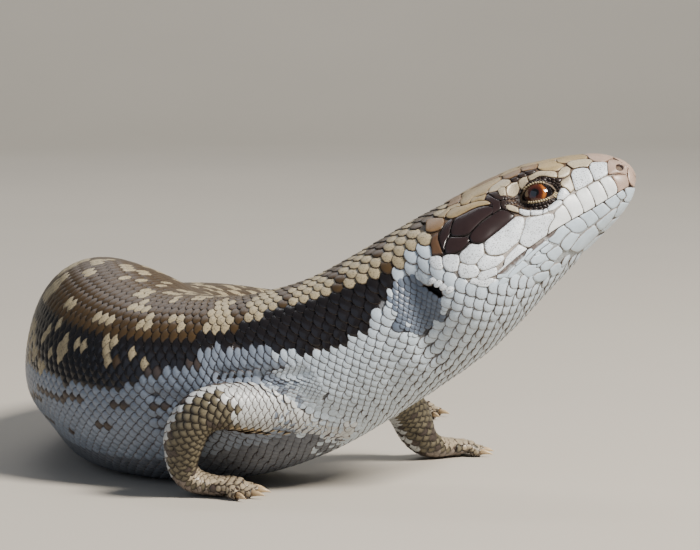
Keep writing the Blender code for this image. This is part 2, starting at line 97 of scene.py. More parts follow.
# Folds of the skin: two ends (station, angle from the crown), half width, depth.
FOLDS = (
    ((84.0, 92.0), (99.0, 79.0), 1.5, 1.3),
    ((88.0, 104.0), (84.0, 124.0), 2.2, 0.9),
    ((56.8, 66.0), (59.5, 108.0), 3.2, 1.6),
    ((66.0, 96.0), (72.0, 140.0), 2.2, 0.35),
    ((104.0, 96.0), (112.0, 86.0), 1.6, 0.5),
)

# Line of the mouth: station, height from the axis.
MOUTH = ((-1, -1.0), (1.2, -0.4), (6.2, 0.1), (12, 0.3), (18.5, 0.8), (25, 1.0), (31, 0.8), (38, 0.0),
         (41, -0.9))
MOUTH_END = 39.5

EYE_STATION, EYE_ACROSS, EYE_UP = 21.6, 8.4, 8.3
EYE_RADIUS = 3.9
EYE_TILT, EYE_ROLL = 30.0, 21.0
EYE_OPENING = (3.75, 2.12)
EAR_STATION, EAR_HEIGHT, EAR_LEAN = 52.0, 3.5, 32.0
EAR_HALF = (1.15, 3.3)
# What lies farther from the middle plane than this can belong to an ear.
EAR_SIDE = 8

# Each leg: root inside the body, elbow or knee, wrist or ankle, end of the palm.
FORE_RIGHT = ((0.0, -21.0, 18.0), (-35.5, -35.5, 21.5), (-38.5, -28.5, 3.4), (-28.0, -29.0, 2.1))
FORE_LEFT = ((-10.0, 3.0, 19.0), (12.5, 22.0, 16.5), (17.5, 26.0, 3.3), (24.8, 33.2, 2.1))
HIND_STATION = 266.0
HIND = ((2.0, 6.0, 15.5), (8.0, 34.0, 20.0), (2.0, 39.0, 3.4), (10.0, 46.5, 2.2))
BEND = (0.5, 0.36)
ARM_GIRTH = ((0, 6.0, 7.2), (0.30, 5.4, 6.1), (0.55, 5.2, 5.2), (0.70, 4.9, 4.8), (0.80, 4.5, 3.6),
             (0.92, 4.8, 2.6), (1, 4.2, 2.2))
THIGH_GIRTH = ((0, 7.8, 8.0), (0.25, 7.0, 7.2), (0.50, 5.6, 5.5), (0.68, 4.5, 4.4), (0.80, 4.2, 3.4),
               (0.92, 4.9, 2.6), (1, 4.4, 2.3))
FORE_TOES = ((-50, -3.4, 4.6), (-24, -2.1, 6.6), (-3, -0.2, 7.4), (18, 1.8, 7.0), (46, 3.4, 5.0))
HIND_TOES = ((-46, -3.4, 4.8), (-24, -2.1, 7.2), (-6, -0.4, 9.0), (14, 1.6, 10.4), (44, 3.3, 6.4))
TOE_RADIUS, CLAW_LENGTH, CLAW_RADIUS, GAP = 1.3, 2.6, 0.72, 0.3

# Length of a scale along the axis, and the count of rows round the body, by station.
PITCH = ((20, 3.1), (46, 3.05), (60, 2.85), (75, 2.45), (92, 2.3), (108, 2.2), (122, 1.9), (136, 1.75),
         (150, 1.75), (165, 2.0), (182, 2.4), (200, 2.6), (300, 2.6), (350, 2.4), (400, 2.0), (452, 1.5))
ROWS = ((20, 42), (46, 50), (60, 58), (76, 70), (92, 78), (108, 84), (246, 84), (285, 66), (340, 46),
        (400, 28), (440, 12), (452, 6))
# Share from crown to belly, and how wide a row is there against the others.
ROW_WIDTHS = ((0, 1.4), (0.25, 1.35), (0.40, 1.0), (0.52, 0.64), (0.72, 0.62), (0.85, 0.7), (1, 0.85))
# Share from crown to belly, half width of a scale against its row, and its squareness.
ROW_SHAPES = ((0, 0.66, 3.0), (0.2, 0.69, 2.8), (0.28, 0.86, 2.1), (0.36, 1.0, 1.75), (0.8, 1.0, 1.75),
              (1, 0.95, 1.9))
# Share round the head, and the station where the head's shields give way to scales.
SHIELDS_END = ((0, 39.0), (0.12, 41.0), (0.17, 47.2), (0.3, 47.8), (0.38, 47.8), (0.45, 46.2), (0.50, 44.6),
               (0.54, 41.0), (0.58, 37.0), (0.62, 34.0), (0.68, 29.0), (0.76, 23.0), (0.88, 20.0), (1, 19.0))

# Upper and lower edge of the dark side stripe: station, angle from the crown.
STRIPE_TOP = ((56, 44), (62, 47), (72, 47), (78, 41), (82, 39), (90, 48), (100, 50), (108, 54), (120, 52),
              (130, 54), (150, 51), (190, 50), (260, 48), (330, 52), (452, 60))
STRIPE_FOOT = ((56, 46), (60, 60), (64, 67), (69, 78), (77, 80), (82, 76), (88, 68), (94, 62), (99, 60),
               (104, 66), (110, 72), (118, 79), (126, 83), (140, 80), (190, 82), (260, 78), (330, 66),
               (452, 62))
BAND_STEP, BAND_AT, BAND_HALF = 11.5, 110.0, 2.3
# How far the bands of the left side are moved along, and the chance that a part of a band is
# missing, that it crosses the stripe, that a scale of the stripe is pale, and that one of the
# flank is dark.
BAND_SHIFT, BROKEN, CROSSING, PALE, DASHED = 3.5, 0.26, 0.45, 0.13, 0.13


def linear(code: str) -> tuple[float, float, float, float]:
    """A colour for a shader.

    Args:
        code: sRGB colour as #RRGGBB.

    Returns:
        Linear red, green, blue and a full alpha.
    """
    parts = [int(code[i:i + 2], 16) / 255 for i in (1, 3, 5)]
    return tuple(c / 12.92 if c <= 0.04045 else ((c + 0.055) / 1.055) ** 2.4 for c in parts) + (1.0,)


@dataclass(frozen=True)
class Look:
    """Colours of one sort of scale, its freckles, the width of its edge and its gloss."""

    middle: str
    edge: str
    freckles: float
    edge_width: float
    gloss: float


class Sort(Enum):
    """The sorts of scale on the animal, each with its look."""

    CREAM = Look("#A49677", "#35241A", 1.00, 0.28, 0.35)
    UMBER = Look("#43331E", "#1C120B", 0.30, 0.30, 0.50)
    STRIPE = Look("#1A1718", "#3A2E28", 0.00, 0.10, 0.95)
    # painted shade: the flank's own pale grey is coloured darker and bluish, as if in shade
    SHADED_FLANK = Look("#7B8593", "#362920", 0.25, 0.34, 0.45)
    DASH = Look("#443A34", "#1C130E", 0.10, 0.45, 0.50)
    # painted shade: the belly's own pale grey is coloured much darker, as if in shade
    SHADED_BELLY = Look("#5F636B", "#3A302A", 0.08, 0.20, 0.45)
    THROAT = Look("#BCC9D4", "#5E4F41", 0.25, 0.26, 0.45)
    # painted shade: the deep fold behind the ear is coloured dark grey-blue for the shade in it
    SHADED_POCKET = Look("#606B7B", "#3A3029", 0.15, 0.28, 0.40)
    ARM = Look("#C0C3C2", "#4C382A", 0.16, 0.28, 0.45)
    ARM_TOP = Look("#A99777", "#271A12", 0.50, 0.42, 0.40)
    FOREARM = Look("#6E6652", "#1A130E", 0.30, 0.74, 0.45)
    SCUTE = Look("#A0927A", "#2C1E15", 0.25, 0.40, 0.45)
    SOLE = Look("#7C7167", "#463B33", 0.10, 0.20, 0.30)
    CROWN = Look("#9A8762", "#4A3526", 0.55, 0.12, 0.40)
    CROWN_BROWN = Look("#7C6244", "#392719", 0.60, 0.14, 0.45)
    CHEEK = Look("#DFE6EC", "#A8A196", 0.85, 0.06, 0.45)
    LIP = Look("#ECF0F0", "#8F8377", 0.12, 0.08, 0.55)
    SNOUT = Look("#A99283", "#7D6555", 0.25, 0.08, 0.45)
    TEMPLE = Look("#2B2020", "#0F0A09", 0.00, 0.16, 0.90)
    TEMPLE_FADE = Look("#57402E", "#2A1B13", 0.40, 0.30, 0.60)
    LID_RIM = Look("#B5A683", "#6A543C", 0.20, 0.24, 0.35)
    LID = Look("#2A1F1B", "#140E0C", 0.05, 0.20, 0.35)
    BROW = Look("#AEA28A", "#4E3A2A", 0.50, 0.16, 0.45)
    CHIN = Look("#B9C8D4", "#8A8078", 0.05, 0.10, 0.45)


SORTS = list(Sort)
SORT_INDEX = {sort: i for i, sort in enumerate(SORTS)}
MIDDLES = np.array([linear(sort.value.middle)[:3] for sort in SORTS])
EDGES = np.array([linear(sort.value.edge)[:3] for sort in SORTS])
TRAITS = np.array([(s.value.freckles, s.value.edge_width, s.value.gloss) for s in SORTS])


class Curve:
    """A smooth curve through the points of a table that never overshoots."""

    def __init__(self, table: tuple, column: int = 1) -> None:
        """Fit the curve to one column of the table against its first column."""
        self.x = np.array([row[0] for row in table], float)
        self.y = np.array([row[column] for row in table], float)
        self.h = np.diff(self.x)
        d = np.diff(self.y) / self.h
        self.m = np.zeros(len(self.x))
        for i in range(1, len(self.x) - 1):
            if d[i - 1] * d[i] > 0:
                self.m[i] = 2 * d[i - 1] * d[i] / (d[i - 1] + d[i])
        self.m[0], self.m[-1] = d[0], d[-1]

    def __call__(self, s: np.ndarray) -> np.ndarray:
        """The curve's value at one or many places."""
        s = np.clip(s, self.x[0], self.x[-1])
        i = np.clip(np.searchsorted(self.x, s, side="right") - 1, 0, len(self.x) - 2)
        t = (s - self.x[i]) / self.h[i]
        rise = (1 + 2 * t) * (1 - t) ** 2 * self.y[i] + t * t * (3 - 2 * t) * self.y[i + 1]
        bend = t * (1 - t) ** 2 * self.h[i] * self.m[i] + t * t * (t - 1) * self.h[i] * self.m[i + 1]
        return rise + bend


def unit(v: np.ndarray) -> np.ndarray:
    """Vectors scaled to length one along the last axis."""
    return v / np.maximum(np.linalg.norm(v, axis=-1, keepdims=True), 1e-9)


def ease(x: np.ndarray, low: float, high: float) -> np.ndarray:
    """A smooth step from 0 at low to 1 at high."""
    t = np.clip((x - low) / (high - low), 0, 1)
    return t * t * (3 - 2 * t)


def chance(i: np.ndarray, j: np.ndarray, seed: float) -> np.ndarray:
    """A repeatable number from 0 to 1 for each pair of whole numbers."""
    mix = np.sin(i * 12.9898 + j * 78.233 + seed * 37.719) * 43758.5453
    return mix - np.floor(mix)


def wobble(a: np.ndarray, b: np.ndarray, seed: float) -> np.ndarray:
    """A smooth uneven value from -1 to 1 that drifts with a and b."""
    waves = np.sin(a * 1.7 + seed) + np.sin(b * 1.3 + 2.1 * seed) + np.sin((a + b) * 0.9 + 0.7 * seed)
    return waves / 3


class Chart:
    """The surface of a tube, addressed by station and by share round it."""

    ROUND = 241

    def __init__(self, stations: np.ndarray, rings: np.ndarray) -> None:
        """Spread each ring evenly by its own length.

        Args:
            stations: place of each ring along the tube.
            rings: points of each ring, starting on its crown, as (ring, point, 3).
        """
        self.stations = stations
        closed = np.concatenate([rings, rings[:, :1]], axis=1)
        arc = np.cumsum(np.linalg.norm(np.diff(closed, axis=1), axis=2), axis=1)
        arc = np.concatenate([np.zeros((len(rings), 1)), arc], axis=1)
        share = np.linspace(-1, 1, self.ROUND)
        wrapped = np.where(share < 0, share + 2, share) / 2
        angle = np.linspace(0, 360, closed.shape[1])
        self.points = np.zeros((len(rings), self.ROUND, 3))
        self.turn = np.zeros((len(rings), self.ROUND))
        for i in range(len(rings)):
            at = wrapped * arc[i, -1]
            for k in range(3):
                self.points[i, :, k] = np.interp(at, arc[i], closed[i, :, k])
            self.turn[i] = np.interp(at, arc[i], angle)
        self.turn = np.where(share[None, :] < 0, self.turn - 360, self.turn)
        self.half_round = arc[:, -1] / 2
        self.refresh()

    def refresh(self) -> None:
        """Work out normals and the stretch along the tube after the points have moved."""
        step = np.gradient(self.stations)[:, None, None]
        ahead = np.gradient(self.points, axis=0) / step
        core = self.points[:, :-1]
        around = np.roll(core, -1, axis=1) - np.roll(core, 1, axis=1)
        around = np.concatenate([around, around[:, :1]], axis=1)
        normal = unit(np.cross(ahead, around))
        middle = self.points[:, :-1].mean(axis=1, keepdims=True)
        outward = ((self.points - middle) * normal).sum(axis=2).mean()
        self.normals = normal if outward > 0 else -normal
        self.stretch = np.linalg.norm(ahead, axis=2)

    def pick(self, grid: np.ndarray, s: np.ndarray, share: np.ndarray) -> np.ndarray:
        """Values of a grid between its rings and points."""
        row = np.interp(s, self.stations, np.arange(len(self.stations)))
        column = (np.mod(share + 1, 2) / 2) * (self.ROUND - 1)
        i = np.clip(row.astype(int), 0, len(self.stations) - 2)
        j = np.clip(column.astype(int), 0, self.ROUND - 2)
        a, b = row - i, column - j
        if grid.ndim == 3:
            a, b = a[..., None], b[..., None]
        low = grid[i, j] * (1 - b) + grid[i, j + 1] * b
        high = grid[i + 1, j] * (1 - b) + grid[i + 1, j + 1] * b
        return low * (1 - a) + high * a

    def at(self, s: np.ndarray, share: np.ndarray) -> tuple[np.ndarray, np.ndarray]:
        """Points of the outer surface and their outward normals."""
        return self.pick(self.points, s, share), unit(self.pick(self.normals, s, share))

    def half(self, s: np.ndarray) -> np.ndarray:
        """Distance round from crown to belly at a station."""
        return np.interp(s, self.stations, self.half_round)


class BodyPlan:
    """The bent axis of the body and the section round it at every station."""

    def __init__(self) -> None:
        """Walk the axis and lay the surface of the whole body."""
        self.girth = [Curve(GIRTH, k) for k in range(1, 6)]
        self.heading, self.fall = Curve(SPINE, 1), Curve(SPINE, 2)
        self.s = np.arange(-1.0, LAST + 1.0, 1.0)
        along = self.along_at(self.s)
        moves = 0.5 * (along[1:] + along[:-1])
        points = np.vstack([np.zeros(3), np.cumsum(moves, axis=0)])
        points += np.array(SNOUT) - points[1]
        depth = self.girth[2](self.s) - SINK
        first = int(np.searchsorted(self.s, REST_FROM))
        miss = points[first, 2] - depth[first]
        points[:, 2] -= miss * ease(self.s, SETTLE_FROM, REST_FROM)
        points[first:, 2] = depth[first:]
        self.axis = points
        fine, even, coarse = np.linspace(-0.6, 4, 24), np.arange(4.5, 62, 0.5), np.arange(62, 452.1, 1.0)
        stations = np.concatenate([fine, even, coarse])
        rings = np.array([self.section(float(s), 720) for s in stations])
        self.chart = Chart(stations, np.roll(rings, -180, axis=1))
        self.fold_skin()
        mouth = Curve(MOUTH)
        spots = np.arange(-0.6, MOUTH_END + 3, 0.5)
        self.mouth_arc = (spots, np.array([self.arc_at_height(s, float(mouth(s))) for s in spots]))
        photo = PhotoView(self)
        self.outlines = [photo.outline(drawn) for drawn in DRAWN_SHIELDS.values()]

    def depth(self, spots: np.ndarray) -> np.ndarray:
        """How deep points lie in the trunk: under 1 is inside, 1 on its surface."""
        gaps = np.linalg.norm(spots[:, None] - self.axis[None, 40:320:2], axis=2)
        near = 40 + 2 * np.argmin(gaps, axis=1)
        s = self.s[near]
        along = self.along_at(s)
        left = unit(np.cross(along, np.array((0.0, 0.0, 1.0))))
        up = np.cross(left, along)
        away = spots - self.axis[near]
        x, z = (away * left).sum(1), (away * up).sum(1)
        half, above, below = (self.girth[k](s) for k in range(3))
        power = np.where(z >= 0, self.girth[3](s), self.girth[4](s))
        tall = np.where(z >= 0, above, below)
        return (np.abs(x / half) ** power + np.abs(z / tall) ** power) ** (1 / power)

    def by_ear(self, spots: np.ndarray) -> tuple[np.ndarray, np.ndarray, np.ndarray]:
        """Where points lie against the ear: to the left of the axis, across it, along it."""
        point, along, left, up = self.frame_at(EAR_STATION)
        away = spots - point
        x, z = away @ along, away @ up - EAR_HEIGHT
        lean = math.radians(EAR_LEAN)
        long_way = z * math.cos(lean) + x * math.sin(lean)
        short_way = x * math.cos(lean) - z * math.sin(lean)
        return away @ left, short_way, long_way

    def in_ear(self, spots: np.ndarray) -> np.ndarray:
        """Which points lie in the ear's opening."""
        side, short_way, long_way = self.by_ear(spots)
        round_it = (short_way / (EAR_HALF[0] + 0.35)) ** 2 + (long_way / (EAR_HALF[1] + 0.2)) ** 2
        return (np.abs(side) > EAR_SIDE) & (round_it < 1)

    def along_at(self, s: np.ndarray) -> np.ndarray:
        """Direction toward the tail."""
        heading, fall = np.radians(self.heading(s)), np.radians(self.fall(s))
        parts = [-np.cos(heading) * np.cos(fall), np.sin(heading) * np.cos(fall), -np.sin(fall)]
        return np.stack(parts, -1)

    def frame_at(self, s: float) -> tuple[np.ndarray, ...]:
        """Point of the axis, direction to the tail, to the left side, and up."""
        point = np.array([np.interp(s, self.s, self.axis[:, k]) for k in range(3)])
        along = self.along_at(np.float64(s))
        left = unit(np.cross(along, (0.0, 0.0, 1.0)))
        return point, along, left, np.cross(left, along)

    def section(self, s: float, count: int) -> np.ndarray:
        """One ring of points, from the left side over the crown."""
        point, _, left, up = self.frame_at(s)
        half, above, below, square_up, square_down = (float(g(s)) for g in self.girth)
        angle = np.linspace(0.0, 2 * math.pi, count, endpoint=False)
        c, v = np.cos(angle), np.sin(angle)
        power = np.where(v >= 0, square_up, square_down)
        reach = (np.abs(c) ** power + np.abs(v) ** power) ** (-1 / power)
        middle = 0.5 * (above - below) if below < 2.0 else 0.0
        if s < 70:
            extra = self.swelling(s, np.degrees(angle)) * min(1.0, half / 6.0)
        else:
            extra = self.lean(s, np.degrees(angle))
        tall = np.where(v >= 0, above - middle, below + middle) + extra
        ring = point + ((half + extra) * reach * c)[:, None] * left
        ring = ring + (tall * reach * v + middle)[:, None] * up
        ring[:, 2] = np.maximum(ring[:, 2], 0.0)
        return ring

    def swelling(self, s: float, angle: np.ndarray) -> np.ndarray:
        """Extra reach of the head's surface."""
        folded = np.where(angle > 90, 180 - angle, angle)
        folded = np.where(angle > 180, 180 - angle, folded)
        folded = np.where(angle > 270, angle - 360, folded)
        extra = np.zeros_like(angle)
        for at, around, reach, spread, amount in SWELLINGS:
            extra += amount * np.exp(-((s - at) / reach) ** 2 - ((folded - around) / spread) ** 2)
        return extra

    def lean(self, s: float, angle: np.ndarray) -> np.ndarray:
        """Extra reach of the trunk's surface in the bend."""
        extra = np.zeros_like(angle)
        for at, around, reach, spread, amount in LEAN:
            turn = (angle - around + 180) % 360 - 180
            extra += amount * np.exp(-((s - at) / reach) ** 2 - (turn / spread) ** 2)
        return extra

    def fold_skin(self) -> None:
        """Press the folds into the surface on both sides."""
        chart = self.chart
        s = chart.stations[:, None]
        mm_per_degree = (chart.half_round / 180)[:, None]
        depth = np.zeros_like(chart.turn)
        for (s0, a0), (s1, a1), width, amount in FOLDS:
            dx, dy = s1 - s0, (a1 - a0) * 0.38
            x, y = s - s0, (np.abs(chart.turn) - a0) * mm_per_degree
            t = np.clip((x * dx + y * dy) / (dx * dx + dy * dy), 0, 1)
            away = ((x - t * dx) ** 2 + (y - t * dy) ** 2) / width ** 2
            depth += amount * np.exp(-away)
        chart.points -= chart.normals * depth[..., None]
        chart.refresh()

    def arc_at_height(self, s: float, height: float) -> float:
        """Distance round the right side from the crown to a height."""
        point, _, _, up = self.frame_at(s)
        share = np.linspace(0, 1, 181)
        ring, _ = self.chart.at(np.full(181, s), share)
        tall = (ring - point) @ up
        return float(np.interp(-height, -tall, share)) * float(self.chart.half(s))

    def mouth_at(self, s: np.ndarray) -> np.ndarray:
        """Distance round from the crown to the mouth line."""
        return np.interp(s, *self.mouth_arc)


class Limb:
    """The path and girth of one leg, and the surface round it."""

    def __init__(self, name: str, corners: tuple, girth: tuple, toes: tuple, mirror: int) -> None:
        """Lay the leg through its corners.

        Args:
            name: name of the leg, as in its nodes.
            corners: root, elbow or knee, wrist or ankle, end of the palm.
            girth: share of the path, half width and half thickness.
            toes: turn, distance across and length of each toe.
            mirror: 1 on the right side, -1 on the left.
        """
        self.name, self.mirror, self.toes = name, mirror, toes
        self.points, self.run = self.rounded(corners)
        self.along = unit(np.gradient(self.points, axis=0))
        self.wide = np.zeros_like(self.points)
        side = np.cross(self.along[-1], (0.0, 0.0, 1.0))
        for i in range(len(self.points) - 1, -1, -1):
            side = unit(side - (side @ self.along[i]) * self.along[i])
            self.wide[i] = side
        self.thick = np.cross(self.wide, self.along)
        self.share = self.run / self.run[-1]
        self.half, self.tall = Curve(girth, 1)(self.share), Curve(girth, 2)(self.share)
        turn = np.linspace(0, 2 * math.pi, 96, endpoint=False)
        rings = self.points[:, None] + (self.half[:, None] * np.sin(turn))[..., None] * self.wide[:, None]
        rings = rings + (self.tall[:, None] * np.cos(turn))[..., None] * self.thick[:, None]
        rings[..., 2] = np.maximum(rings[..., 2], 0.0)
        self.chart = Chart(self.run, rings)

    def rounded(self, corners: tuple) -> tuple[np.ndarray, np.ndarray]:
        """Points along straight runs joined by smooth bends, and their distances."""
        pts = [np.array(p, float) for p in corners]
        shin = np.linalg.norm(pts[2] - pts[1])
        points = [pts[0]]
        for i in (1, 2):
            trim = BEND[i - 1] * shin
            a = pts[i] + trim * unit(pts[i - 1] - pts[i])
            b = pts[i] + trim * unit(pts[i + 1] - pts[i])
            for t in np.linspace(0, 1, 13):
                points.append((1 - t) ** 2 * a + 2 * t * (1 - t) * pts[i] + t * t * b)
        points.append(pts[3])
        points = np.array(points)
        run = np.concatenate([[0], np.cumsum(np.linalg.norm(np.diff(points, axis=0), axis=1))])
        even = np.linspace(0, run[-1], int(run[-1] / 0.5) + 1)
        return np.stack([np.interp(even, run, points[:, k]) for k in range(3)], -1), even

    def inside(self, spots: np.ndarray) -> np.ndarray:
        """How deep points lie in the leg: under 1 is inside it, 1 on its surface."""
        gaps = np.linalg.norm(spots[:, None] - self.points[None, ::3], axis=2)
        near = np.argmin(gaps, axis=1) * 3
        away = spots - self.points[near]
        x = (away * self.wide[near]).sum(1) / self.half[near]
        y = (away * self.thick[near]).sum(1) / self.tall[near]
        z = (away * self.along[near]).sum(1) / 0.9
        return np.sqrt(x * x + y * y + z * z)

    def toe_chart(self, turn: float, across: float, length: float) -> tuple[Chart, np.ndarray, np.ndarray]:
        """Surface of one toe, its tip, and the direction of its end."""
        end, along = self.points[-1], self.along[-1].copy()
        along[2] = 0.0
        along = unit(along)
        side = np.cross(along, (0.0, 0.0, 1.0)) * self.mirror
        angle = math.radians(turn)
        way = math.cos(angle) * along + math.sin(angle) * side
        base = end + across * side
        root, knuckle, tip = base - 2.4 * along, base + 0.42 * length * way, base + length * way
        root[2], knuckle[2], tip[2] = 2.3, 2.6, 1.2
        middle = tip - 0.28 * length * way
        middle[2] = 1.36
        spots = np.array([root, knuckle, middle, tip])
        run = np.concatenate([[0], np.cumsum(np.linalg.norm(np.diff(spots, axis=0), axis=1))])
        radii = (TOE_RADIUS + 0.2, TOE_RADIUS + 0.1, TOE_RADIUS, TOE_RADIUS - 0.25)
        at = np.linspace(0, run[-1], 30)
        path = np.stack([Curve(tuple(zip(run, spots[:, k])))(at) for k in range(3)], -1)
        radius = Curve(tuple(zip(run, radii)))(at) * (1 + 0.05 * np.sin(at / run[-1] * 9.0))
        ways = unit(np.gradient(path, axis=0))
        across_toe = unit(np.cross(ways, (0.0, 0.0, 1.0)))
        up = np.cross(across_toe, ways)
        round_ = np.linspace(0, 2 * math.pi, 48, endpoint=False)
        rings = path[:, None] + radius[:, None, None] * (
            np.sin(round_)[None, :, None] * across_toe[:, None] + np.cos(round_)[None, :, None] * up[:, None])
        rings[..., 2] = np.maximum(rings[..., 2], 0.0)
        return Chart(at, rings), tip, unit(tip - middle)


def hind_corners(plan: BodyPlan, side: int) -> tuple:
    """Corners of a hind leg, set from the hips outward on one side."""
    point, along, left, _ = plan.frame_at(HIND_STATION)
    spots = [(point - forward * along + side * outward * left, height) for forward, outward, height in HIND]
    return tuple((spot[0], spot[1], height) for spot, height in spots)


class Markings:
    """Where each sort of scale lies on the body, the legs and the toes."""

    def __init__(self) -> None:
        """Read the edges of the dark stripe."""
        self.top, self.foot = Curve(STRIPE_TOP), Curve(STRIPE_FOOT)

    def body(self, s: np.ndarray, turn: np.ndarray, dice: np.ndarray) -> np.ndarray:
        """Sort of each place on the body.

        Args:
            s: stations.
            turn: angles from the crown, + on the right side.
            dice: a number from 0 to 1 for each place, for uneven edges.

        Returns:
            Index of the sort of each place.
        """
        side = np.abs(turn)
        shifted = s + np.where(turn < 0, BAND_SHIFT, 0.0)
        top = self.top(s) + 2.5 * wobble(shifted * 0.35, side * 0.05, 1.0) + 2.0 * (dice - 0.5)
        foot = self.foot(s) + 3.0 * wobble(shifted * 0.3, side * 0.05, 4.0) + 3.0 * (dice - 0.5)
        slant = 0.08 * np.maximum(0, side - 40) - 0.05 * np.maximum(0, 22 - side)
        cycle = (shifted - BAND_AT - slant) / BAND_STEP + 0.07 * wobble(shifted * 0.1, side * 0.07, 2.0)
        cycle = cycle + 0.5 * ease(s, 106, 122) * (np.floor((side + 4) / 13) % 2)
        away = np.abs(cycle - np.round(cycle)) * BAND_STEP
        half = BAND_HALF + 0.7 * wobble(shifted * 0.5, side * 0.16, 3.0)
        half = half + 2.6 * (1 - ease(s, 86, 104)) * ease(side, 8, 22)
        band = away < half
        rank = np.full(s.shape, SORT_INDEX[Sort.UMBER])
        part = np.floor((side + 0.8 * shifted) / 10)
        broken = (chance(np.round(cycle), part, 5.0) < BROKEN) & (s > 92)
        rank = np.where(band & ~broken, SORT_INDEX[Sort.CREAM], rank)
        in_stripe = (side > top) & (side < foot)
        crossed = band & (s > 117) & (away < 1.5)
        crossed &= chance(np.round(cycle), np.floor(side / 7), 7.0) < CROSSING
        rung = np.floor((s + 0.12 * side) / 1.9)
        loose = in_stripe & (s > 112) & (chance(rung, np.floor(side / 5.5), 6.0) < PALE)
        rank = np.where(loose, SORT_INDEX[Sort.CREAM], rank)
        crossed = crossed | loose
        rank = np.where(in_stripe & ~crossed, SORT_INDEX[Sort.STRIPE], rank)
        flank = side >= foot
        # painted shade: below the stripe the flank's pale grey scales are coloured darker and bluish, as if
        # in shade
        rank = np.where(flank, SORT_INDEX[Sort.SHADED_FLANK], rank)
        cell = chance(np.floor((s + side * 0.12) / 4.6), np.floor(side / 3.2), 9.0)
        spread = DASHED * ease(s, 94, 108) * (1 - ease(side, 112, 130))
        rank = np.where(flank & (cell < spread), SORT_INDEX[Sort.DASH], rank)
        tail = flank & (s > 285) & (away > 3.4) & (side < 120)
        rank = np.where(tail, SORT_INDEX[Sort.UMBER], rank)
        plain = flank & (cell >= spread) & ~tail
        # painted shade: the belly's pale grey scales are coloured much darker, as if in shade
        rank = np.where(plain & (side > 128), SORT_INDEX[Sort.SHADED_BELLY], rank)
        rank = np.where(plain & (s < 84 + 8 * dice), SORT_INDEX[Sort.THROAT], rank)
        # painted shade: a dark grey-blue patch for the shade in the fold behind the ear
        shaded_pocket = ((s - 57.4) / 5.6) ** 2 + ((side - 80) / 22) ** 2 < 0.5 + 1.1 * dice
        return np.where(shaded_pocket, SORT_INDEX[Sort.SHADED_POCKET], rank)

    def leg(self, limb: Limb, s: np.ndarray, share: np.ndarray, dice: np.ndarray) -> np.ndarray:
        """Index of the sort of each place on a leg."""
        along = s / limb.run[-1]
        rank = np.full(s.shape, SORT_INDEX[Sort.ARM])
        top = (np.abs(share) < 0.24 + 0.1 * (dice - 0.5)) & (along > 0.12)
        rank = np.where(top, SORT_INDEX[Sort.ARM_TOP], rank)
        lower = along > 0.45 + 0.06 * (dice - 0.5) + 0.12 * np.maximum(0, np.abs(share) - 0.4)
        rank = np.where(lower & (np.abs(share) < 0.90), SORT_INDEX[Sort.FOREARM], rank)
        dark = lower & (dice > 0.82)
        rank = np.where(dark, SORT_INDEX[Sort.DASH], rank)
        rank = np.where((along > 0.84) & (np.abs(share) < 0.5), SORT_INDEX[Sort.SCUTE], rank)
        return np.where((along > 0.82) & (np.abs(share) >= 0.6), SORT_INDEX[Sort.SOLE], rank)


def new_object(name: str, points: np.ndarray, faces: list[np.ndarray]) -> bpy.types.Object:
    """An object from points in the plan's millimetres and arrays of equal-sided faces.

    Args:
        name: the piece's name.
        points: vertices, as (count, 3).
        faces: arrays of vertex numbers, one array for each count of corners.

    Returns:
        The object, at the origin, shaded smooth.
    """
    mesh = bpy.data.meshes.new(name)
    mesh.vertices.add(len(points))
    mesh.vertices.foreach_set("co", ((points + ROOT_SHIFT) * MM).astype(np.float32).ravel())
    corners = np.concatenate([f.ravel() for f in faces])
    sizes = np.concatenate([np.full(len(f), f.shape[1]) for f in faces])
    mesh.loops.add(len(corners))
    mesh.loops.foreach_set("vertex_index", corners.astype(np.int32))
    mesh.polygons.add(len(sizes))
    starts = np.concatenate([[0], np.cumsum(sizes)[:-1]])
    mesh.polygons.foreach_set("loop_start", starts.astype(np.int32))
    mesh.update(calc_edges=True)
    mesh.validate()
    mesh.shade_smooth()
    item = bpy.data.objects.new(name, mesh)
    bpy.context.scene.collection.objects.link(item)
    return item


# What the scales' material reads at each vertex.
SCALE_LAYERS = (("tint", "FLOAT_COLOR"), ("edge", "FLOAT_COLOR"), ("rim", "FLOAT"), ("gloss", "FLOAT"))


def paint(item: bpy.types.Object, name: str, kind: str, values: np.ndarray) -> None:
    """Store a value for each vertex, to be read by the piece's material."""
    layer = item.data.attributes.new(name, kind, "POINT")
    layer.data.foreach_set("color" if kind == "FLOAT_COLOR" else "value", values.astype(np.float32).ravel())


def turn_outward(item: bpy.types.Object) -> None:
    """Make all faces of a piece look outward."""
    mesh = bmesh.new()
    mesh.from_mesh(item.data)
    bmesh.ops.recalc_face_normals(mesh, faces=mesh.faces)
    mesh.to_mesh(item.data)
    mesh.free()


def read_points(item: bpy.types.Object) -> np.ndarray:
    """A piece's vertices in the plan's millimetres."""
    flat = np.zeros(len(item.data.vertices) * 3, np.float32)
    item.data.vertices.foreach_get("co", flat)
    return flat.reshape(-1, 3).astype(float) / MM - ROOT_SHIFT


def ring_quads(grid: np.ndarray) -> np.ndarray:
    """Quads between rows of numbered points, where each row is a closed ring."""
    a, b = grid[:-1], grid[1:]
    return np.stack([a, np.roll(a, -1, 1), np.roll(b, -1, 1), b], -1).reshape(-1, 4)


def bake_map(item: bpy.types.Object, places: np.ndarray) -> None:
    """Give the piece its OFBake map from one place for each vertex."""
    corners = np.zeros(len(item.data.loops), np.int32)
    item.data.loops.foreach_get("vertex_index", corners)
    layer = item.data.uv_layers.new(name="OFBake")
    layer.data.foreach_set("uv", places[corners].astype(np.float32).ravel())


